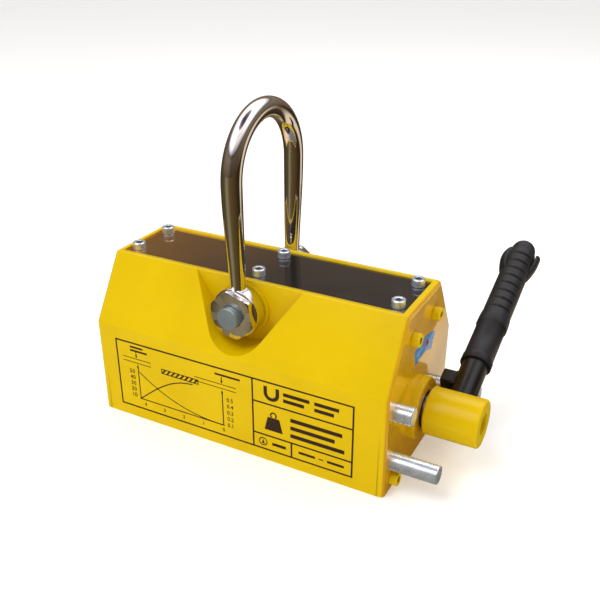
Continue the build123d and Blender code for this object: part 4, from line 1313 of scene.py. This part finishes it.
@dataclass
class RatingPanel:
    """The black-line panel on the front: a load chart beside a column of cells. Sizes are in millimetres."""

    line: float = 1.4
    thin: float = 0.95
    bold: float = 3.0
    fine: float = 0.6
    chart: tuple[Point, Point] = ((21.0, 10.3), (102.8, 42.8))
    divider: float = 130.4
    cells: tuple[float, float] = (42.9, 14.0)
    short_divider: float = 163.9
    curve_steps: int = 28
    marks: int = 5
    plate_lines: tuple[tuple[float, float, float], ...] = (
        (6.3, 34.6, 44.3), (6.3, 34.6, 48.0), (77.2, 115.6, 44.5), (77.2, 115.6, 48.2),
    )
    arrows: tuple[float, float] = (20.2, 102.7)
    test_bar: tuple[Point, Point] = ((45.2, 41.7), (80.4, 45.6))
    hatches: int = 8
    captions: tuple[tuple[float, float, float], ...] = (
        (14.5, 58.6, 13.0), (14.5, 55.4, 17.0), (96.5, 56.6, 23.0),
    )
    low_bars: tuple[tuple[float, float, float], ...] = (
        (147.0, 159.0, 2.6), (170.0, 184.0, 2.2), (187.0, 191.0, 1.0), (194.0, 208.0, 2.2),
    )
    size: Point = (0.0, 0.0)

    def build(self) -> None:
        """Builds the panel's foil and its printing."""
        low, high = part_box("rating_label")
        self.size = ((high.x - low.x) / MM, (high.z - low.z) / MM)
        foil = bmesh.new()
        back, face = high.y, high.y - 0.05 * MM
        corners = [(low.x, low.z), (high.x, low.z), (high.x, high.z), (low.x, high.z)]
        rows = [[Vector((x, y, z)) for x, z in corners] for y in (back, face)]
        stacked(foil, rows)
        settle(piece("rating_label_foil", finish_mesh(foil, [ENAMEL])), Body.HOUSING, ENAMEL, "rating_label")
        ink = Printing(
            Vector((low.x, face, low.z)), Vector((1, 0, 0)), Vector((0, 0, 1)), Vector((0, -1, 0)),
        )
        self._borders(ink)
        self._chart(ink)
        self._cells(ink)
        self._bars(ink)
        settle(ink.finished("rating_label_print", [INK]), Body.HOUSING, INK)

    def _borders(self, ink: Printing) -> None:
        """Prints the frame and the cells' lines."""
        width, height = self.size
        inset = self.line / 2
        ink.frame_box((inset, inset), (width - inset, height - inset), self.line)
        ink.stroke([(self.divider, inset), (self.divider, height - inset)], self.line)
        for level in self.cells:
            ink.stroke([(self.divider, level), (width - inset, level)], self.line)
        ink.stroke([(self.short_divider, inset), (self.short_divider, self.cells[1])], self.line)

    def _chart(self, ink: Printing) -> None:
        """Prints the axes, the two crossing curves, the scales and the plates above."""
        (x0, y0), (x1, y1) = self.chart
        ink.stroke([(x0, y0), (x0, y1 - 1.5)], self.thin)
        ink.stroke([(x1, y0), (x1, y1 - 1.5)], self.thin)
        ink.stroke([(x0 - 1.0, y0), (x1 + 1.0, y0)], self.thin)
        for x in (x0, x1):
            ink.patch([(x - 1.1, y1 - 2.8), (x + 1.1, y1 - 2.8), (x, y1 + 0.4)])
        span, rise = x1 - x0, y1 - y0
        shares = [i / self.curve_steps for i in range(self.curve_steps + 1)]
        falling = [(x0 + span * t, y0 + rise * 0.82 * (1 - t) ** 2.3) for t in shares]
        rising = [(x0 + span * 0.66 * t, y0 + rise * 0.90 * math.sin(math.pi / 2 * t)) for t in shares]
        ink.stroke(falling, 0.85)
        ink.stroke(rising, self.thin)
        for start, end, level in self.plate_lines:
            ink.stroke([(start, level), (end, level)], self.fine)
        for x in self.arrows:
            ink.stroke([(x, 55.0), (x, 51.0)], 0.8)
            ink.patch([(x - 1.1, 51.4), (x, 48.6), (x + 1.1, 51.4)])
        for i in range(self.marks):
            ink.digits(str((5 - i) * 10), x0 - 6.3, y1 - 7.6 - 5.7 * i, 5.4)
            ink.digits(f"0.{5 - i}", x1 + 6.8, y1 - 7.6 - 5.9 * i, 5.0)
            ink.digits(str(4 - i), x0 + 4.5 + (span - 4.5) * i / 4, y0 - 4.6, 4.6)

    def _bars(self, ink: Printing) -> None:
        """Prints the hatched test bar and short caption bars."""
        low, high = self.test_bar
        ink.frame_box(low, high, 0.8)
        step, level = (high[0] - low[0]) / self.hatches, (low[1] + high[1]) / 2
        spots = [ink.at(low[0] + step * (i + 0.5), level, ink.height / 2) for i in range(self.hatches)]
        points = bpy.data.meshes.new("hatch")
        points.from_pydata(spots, [], [])
        size = (1.5 * MM, ink.height * MM, 5.0 * MM)
        values = {"Size": size, "Lean": math.radians(42), "Material": INK.build()}
        ink.mesh.from_mesh(bar_tree().run(points, values))
        for x, y, width in self.captions:
            ink.stroke([(x, y), (x + width, y)], 1.7)

    def _cells(self, ink: Printing) -> None:
        """Prints plain signs in the cells: a magnet, a weight, a dial and bars."""
        middle, bend = (147.0, 53.0), 5.2
        left, right = middle[0] - bend, middle[0] + bend
        horseshoe = [(left, 58.6), (left, middle[1])] + arc(middle, bend, 180, 360, 18) + [(right, 58.6)]
        ink.stroke(horseshoe, self.bold)
        for x, width in ((157.0, 22.0), (183.0, 20.0)):
            ink.stroke([(x, 55.4), (x + width, 55.4)], self.bold)
            ink.stroke([(x, 50.0), (x + width * 0.8, 50.0)], self.bold)
        ink.patch([(140.5, 19.5), (156.5, 19.5), (153.5, 31.5), (143.5, 31.5)])
        ink.stroke(arc((148.5, 33.8), 2.4, -50, 230, 16), 1.2)
        for level, start, end in ((34.5, 163.0, 206.0), (27.5, 163.0, 200.0), (20.5, 163.0, 208.0)):
            ink.stroke([(start, level), (end, level)], 3.4)
        ink.stroke(arc((139.0, 7.3), 3.4, 0, 360, 24), 0.9)
        ink.patch([(137.6, 5.3), (140.4, 5.3), (139.0, 9.6)])
        for start, end, width in self.low_bars:
            ink.stroke([(start, 7.3), (end, 7.3)], width)


@dataclass
class DirectionLabel:
    """The blue arc above the hub: two arrows that part from a red dot. Sizes are in millimetres."""

    steps: int = 24
    foil: float = 0.12
    mark: float = 0.06
    dot_radius: float = 3.2
    shaft_width: float = 1.6
    head_half: float = 2.6

    def build(self) -> None:
        """Builds the foil and its marks."""
        low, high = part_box("direction_label")
        turn = next(j["pos_m"] for j in frame["joints"] if j["name"] == "lever_turn")
        co = [v.co for v in frame["nodes"]["direction_label"].data.vertices]
        reach = [math.hypot(p.y, p.z - turn[2]) / MM for p in co]
        angles = [math.degrees(math.atan2(p.z - turn[2], p.y)) for p in co]
        inner, outer = min(reach), max(reach)
        start, end = min(angles), max(angles)
        middle = (inner + outer) / 2
        ink = Printing(
            Vector((low.x, 0.0, turn[2])), Vector((0, 1, 0)), Vector((0, 0, 1)), Vector((1, 0, 0)), self.foil,
        )
        outline = arc((0.0, 0.0), outer, start, end, self.steps)
        ink.patch(outline + arc((0.0, 0.0), inner, end, start, self.steps))
        ink.height = self.mark
        dot = self._polar(middle, 0.62 * start + 0.38 * end)
        ink.patch(arc(dot, self.dot_radius, 0, 345, 20), 2, self.foil)
        ink.origin = ink.origin + ink.out * self.foil * MM
        for sign, edge in ((1, end), (-1, start)):
            tip = edge - sign * 3.0
            tail = (start + end) / 2 + sign * 5.0
            neck = tip - sign * 4.0
            ink.stroke(arc((0.0, 0.0), middle, tail, neck, 10), self.shaft_width, 1)
            top, bottom = self._polar(middle + self.head_half, neck), self._polar(middle - self.head_half, neck)
            ink.patch([top, self._polar(middle, tip), bottom], 1)
        made = ink.finished("direction_label_print", [BLUE_FOIL, WHITE_INK, RED_INK])
        settle(made, Body.HOUSING, BLUE_FOIL, "direction_label")

    @staticmethod
    def _polar(radius: float, angle: float) -> Point:
        """A point at a radius and an angle in degrees."""
        return radius * math.cos(math.radians(angle)), radius * math.sin(math.radians(angle))


@dataclass
class InnerWorks:
    """The rotor, magnets, bushes and other pieces inside, kept as the frame has them."""

    finishes: dict[str, Finish] = field(default_factory=lambda: {
        "base_strip": BRONZE, "spacer_strip": BRONZE, "stator_magnets": MAGNET, "rotor_magnets": MAGNET,
        "rotor_segment_front": ROTOR_IRON, "rotor_segment_back": ROTOR_IRON, "drive_shaft_flange": ROTOR_IRON,
        "blind_shaft_flange": ROTOR_IRON, "hub_key": ROTOR_IRON, "rotor_screws": BLACK_OXIDE,
        "hub_screw": BLACK_OXIDE, "drive_shaft_bush": BRONZE, "blind_shaft_bush": BRONZE,
        "drive_thrust_washer": BRONZE, "blind_thrust_washer": BRONZE, "shaft_seal": SEAL_RUBBER,
    })

    def build(self) -> None:
        """Dresses every inner node."""
        for node, finish in self.finishes.items():
            dress(node, finish)
        log.info("inner works: %d nodes dressed", len(self.finishes))


# ---------------------------------------------------------------- studio


# What polished metal reflects: card colours on the floor by compass angle, the room's colours by height, and
# how bright the room is by compass angle.
FLOOR_CARDS = [
    (-180, (0.07, 0.056, 0.026)), (-135, (0.10, 0.078, 0.034)), (-112, (0.30, 0.25, 0.16)),
    (-80, (0.12, 0.083, 0.030)), (-35, (0.08, 0.05, 0.018)), (8, (0.03, 0.018, 0.009)),
    (27, (0.06, 0.036, 0.018)), (37, (0.95, 0.78, 0.58)), (54, (0.86, 0.72, 0.55)),
    (62, (0.06, 0.036, 0.020)), (78, (0.03, 0.022, 0.014)),
    (110, (0.18, 0.14, 0.09)), (150, (0.04, 0.03, 0.02)), (180, (0.07, 0.056, 0.026)),
]
ROOM_BANDS = [
    (0.0, (0.15, 0.10, 0.065)), (0.40, (0.24, 0.20, 0.15)), (0.49, (0.16, 0.13, 0.12)),
    (0.60, (1.1, 1.1, 1.25)), (0.76, (2.4, 2.4, 2.5)), (0.86, (2.2, 2.2, 2.4)), (0.91, (3.4, 3.4, 3.3)),
    (0.95, (0.5, 0.45, 0.6)), (1.0, (0.08, 0.06, 0.08)),
]
ROOM_WINDOWS = [
    (-180, (0.6, 0.6, 0.65)), (-150, (1.0, 1.0, 1.0)), (-100, (1.0, 1.0, 1.0)), (-70, (0.45, 0.42, 0.42)),
    (-20, (0.5, 0.46, 0.42)), (20, (0.9, 0.86, 0.82)), (60, (0.9, 0.9, 0.92)), (100, (1.1, 1.05, 1.0)),
    (150, (0.9, 0.75, 0.6)), (180, (0.6, 0.6, 0.65)),
]


@dataclass
class Studio:
    """The floor, the surroundings, the lights and the camera."""

    camera_place: tuple[float, float, float] = (0.2897, -0.4985, 0.3883)
    azimuth_deg: float = 27.95
    elevation_deg: float = 26.30
    lens_mm: float = 47.72
    floor_size: float = 14.0

    def build(self) -> None:
        """Builds the studio."""
        bpy.context.scene.view_settings.view_transform = "Standard"
        self._camera()
        self._floor()
        self._surroundings()
        self._light("key_softbox", (-0.6, -0.75, 1.95), 1.3, 20.0)
        self._light("front_fill", (1.2, -1.5, 0.9), 1.2, 1.0)
        self._light("rear_strip", (0.6, 1.0, 1.5), 0.9, 9.0)

    def _camera(self) -> None:
        """Sets the camera."""
        camera = bpy.data.cameras.new("camera")
        camera.lens, camera.sensor_width = self.lens_mm, 36.0
        camera.clip_start, camera.clip_end = 0.01, 50.0
        holder = bpy.data.objects.new("camera", camera)
        bpy.context.scene.collection.objects.link(holder)
        holder.location = self.camera_place
        tilt = math.radians(90.0 - self.elevation_deg)
        holder.rotation_euler = (tilt, 0.0, math.radians(self.azimuth_deg))
        bpy.context.scene.camera = holder

    def _floor(self) -> None:
        """Lays a plain pale floor that glossy rays see as glowing coloured cards: painted reflections for the
        polished metal.
        """
        half = self.floor_size / 2
        mesh = bpy.data.meshes.new("floor")
        corners = [(-half, -half, 0), (half, -half, 0), (half, half, 0), (-half, half, 0)]
        mesh.from_pydata(corners, [], [(0, 1, 2, 3)])
        holder = piece("floor", mesh)
        holder.location.z = -0.2 * MM
        material = bpy.data.materials.new("pale_floor")
        material.use_nodes = True
        shader = material.node_tree.nodes["Principled BSDF"]
        shader.inputs["Base Color"].default_value = (0.93, 0.93, 0.93, 1.0)
        shader.inputs["Roughness"].default_value = 0.75
        shader.inputs["Specular IOR Level"].default_value = 0.1
        shader.inputs["Emission Color"].default_value = (1.0, 1.0, 1.0, 1.0)
        shader.inputs["Emission Strength"].default_value = 0.25
        graph = Graph(material.node_tree)
        place = graph.add("ShaderNodeTexCoord").outputs["Object"]
        # Painted reflections: glossy rays see the floor as glowing cards, coloured by compass angle.
        colours = self._around(graph, place, FLOOR_CARDS)
        cards = graph.add("ShaderNodeEmission", {"Color": colours, "Strength": 1.0})
        ray = graph.add("ShaderNodeLightPath").outputs["Is Glossy Ray"]
        mix = graph.add("ShaderNodeMixShader", {"Fac": ray})
        graph.feed(mix.inputs[1], shader.outputs[0])
        graph.feed(mix.inputs[2], cards.outputs[0])
        graph.feed(material.node_tree.nodes["Material Output"].inputs["Surface"], mix.outputs[0])
        mesh.materials.append(material)

    @staticmethod
    def _around(graph: Graph, place: bpy.types.NodeSocket, cards: Sequence[tuple]) -> bpy.types.NodeSocket:
        """Lays colours round the vertical axis.

        Args:
            graph: The graph to add to.
            place: The position or direction that is looked up.
            cards: Pairs of a compass angle in degrees from +X, from -180 to 180, and a colour.

        Returns:
            The colour.
        """
        parts = graph.add("ShaderNodeSeparateXYZ", {"Vector": place})
        turn = graph.math("ARCTAN2", parts.outputs["Y"], parts.outputs["X"])
        ramp = graph.add("ShaderNodeValToRGB", {"Fac": graph.span(turn, -math.pi, math.pi)})
        Studio._stops(ramp, [((angle + 180.0) / 360.0, colour) for angle, colour in cards])
        return ramp.outputs["Color"]

    @staticmethod
    def _stops(ramp: bpy.types.Node, stops: Sequence[tuple]) -> None:
        """Sets a colour ramp's stops from pairs of a position and a colour."""
        elements = ramp.color_ramp.elements
        for index, (position, colour) in enumerate(stops):
            stop = elements[index] if index < 2 else elements.new(position)
            stop.position, stop.color = position, (*colour, 1.0)

    def _surroundings(self) -> None:
        """Sets the surroundings: an even white for the eye and a darker warm room for reflections."""
        world = bpy.data.worlds.new("room")
        bpy.context.scene.world = world
        world.use_nodes = True
        graph = Graph(world.node_tree)
        graph.tree.nodes.clear()
        place = graph.add("ShaderNodeTexCoord").outputs["Generated"]
        height = graph.add("ShaderNodeSeparateXYZ", {"Vector": place}).outputs["Z"]
        bands = graph.add("ShaderNodeValToRGB", {"Fac": graph.span(height, 0.0, 1.0)})
        self._stops(bands, ROOM_BANDS)
        walls = graph.add("ShaderNodeMix", {"Factor": 1.0}, data_type="RGBA", blend_type="MULTIPLY")
        graph.feed(next(s for s in walls.inputs if s.name == "A" and s.enabled), bands.outputs["Color"])
        windows = self._around(graph, place, ROOM_WINDOWS)
        graph.feed(next(s for s in walls.inputs if s.name == "B" and s.enabled), windows)
        colour = next(s for s in walls.outputs if s.enabled)
        room = graph.add("ShaderNodeBackground", {"Color": colour, "Strength": 1.0}).outputs[0]
        soft = graph.add("ShaderNodeBackground", {"Color": (1.0, 0.98, 0.95, 1.0), "Strength": 0.62}).outputs[0]
        white = graph.add("ShaderNodeBackground", {"Color": (1.0, 1.0, 1.0, 1.0), "Strength": 1.0}).outputs[0]
        rays = graph.add("ShaderNodeLightPath")
        inner = graph.add("ShaderNodeMixShader", {"Fac": rays.outputs["Is Glossy Ray"]})
        graph.feed(inner.inputs[1], soft)
        graph.feed(inner.inputs[2], room)
        outer = graph.add("ShaderNodeMixShader", {"Fac": rays.outputs["Is Camera Ray"]})
        graph.feed(outer.inputs[1], inner.outputs[0])
        graph.feed(outer.inputs[2], white)
        leave = graph.add("ShaderNodeOutputWorld")
        graph.feed(leave.inputs["Surface"], outer.outputs[0])

    @staticmethod
    def _light(name: str, place: tuple[float, float, float], size: float, power: float) -> None:
        """Adds a square soft light that faces the object and doesn't show in reflections.

        Args:
            name: Its name.
            place: Where it stands.
            size: Its side.
            power: Its power in watts.
        """
        light = bpy.data.lights.new(name, "AREA")
        light.energy, light.size = power, size
        holder = bpy.data.objects.new(name, light)
        holder.visible_glossy = False
        bpy.context.scene.collection.objects.link(holder)
        holder.location = place
        aim = Vector((0.02, 0.0, 0.1)) - Vector(place)
        holder.rotation_euler = aim.to_track_quat("-Z", "Y").to_euler()


def main() -> None:
    """Builds the studio and every sub-assembly in order."""
    logging.basicConfig(level=logging.INFO, format="%(message)s")
    for part in (
        Studio(), Housing(), TopPlate(), CapScrews(), Shackle(), ShacklePivots(), StopPins(), Lever(),
        SafetyCatch(), RatingPanel(), DirectionLabel(), InnerWorks(),
    ):
        part.build()
        log.info("built %s", type(part).__name__)


if __name__ == "__main__":
    main()
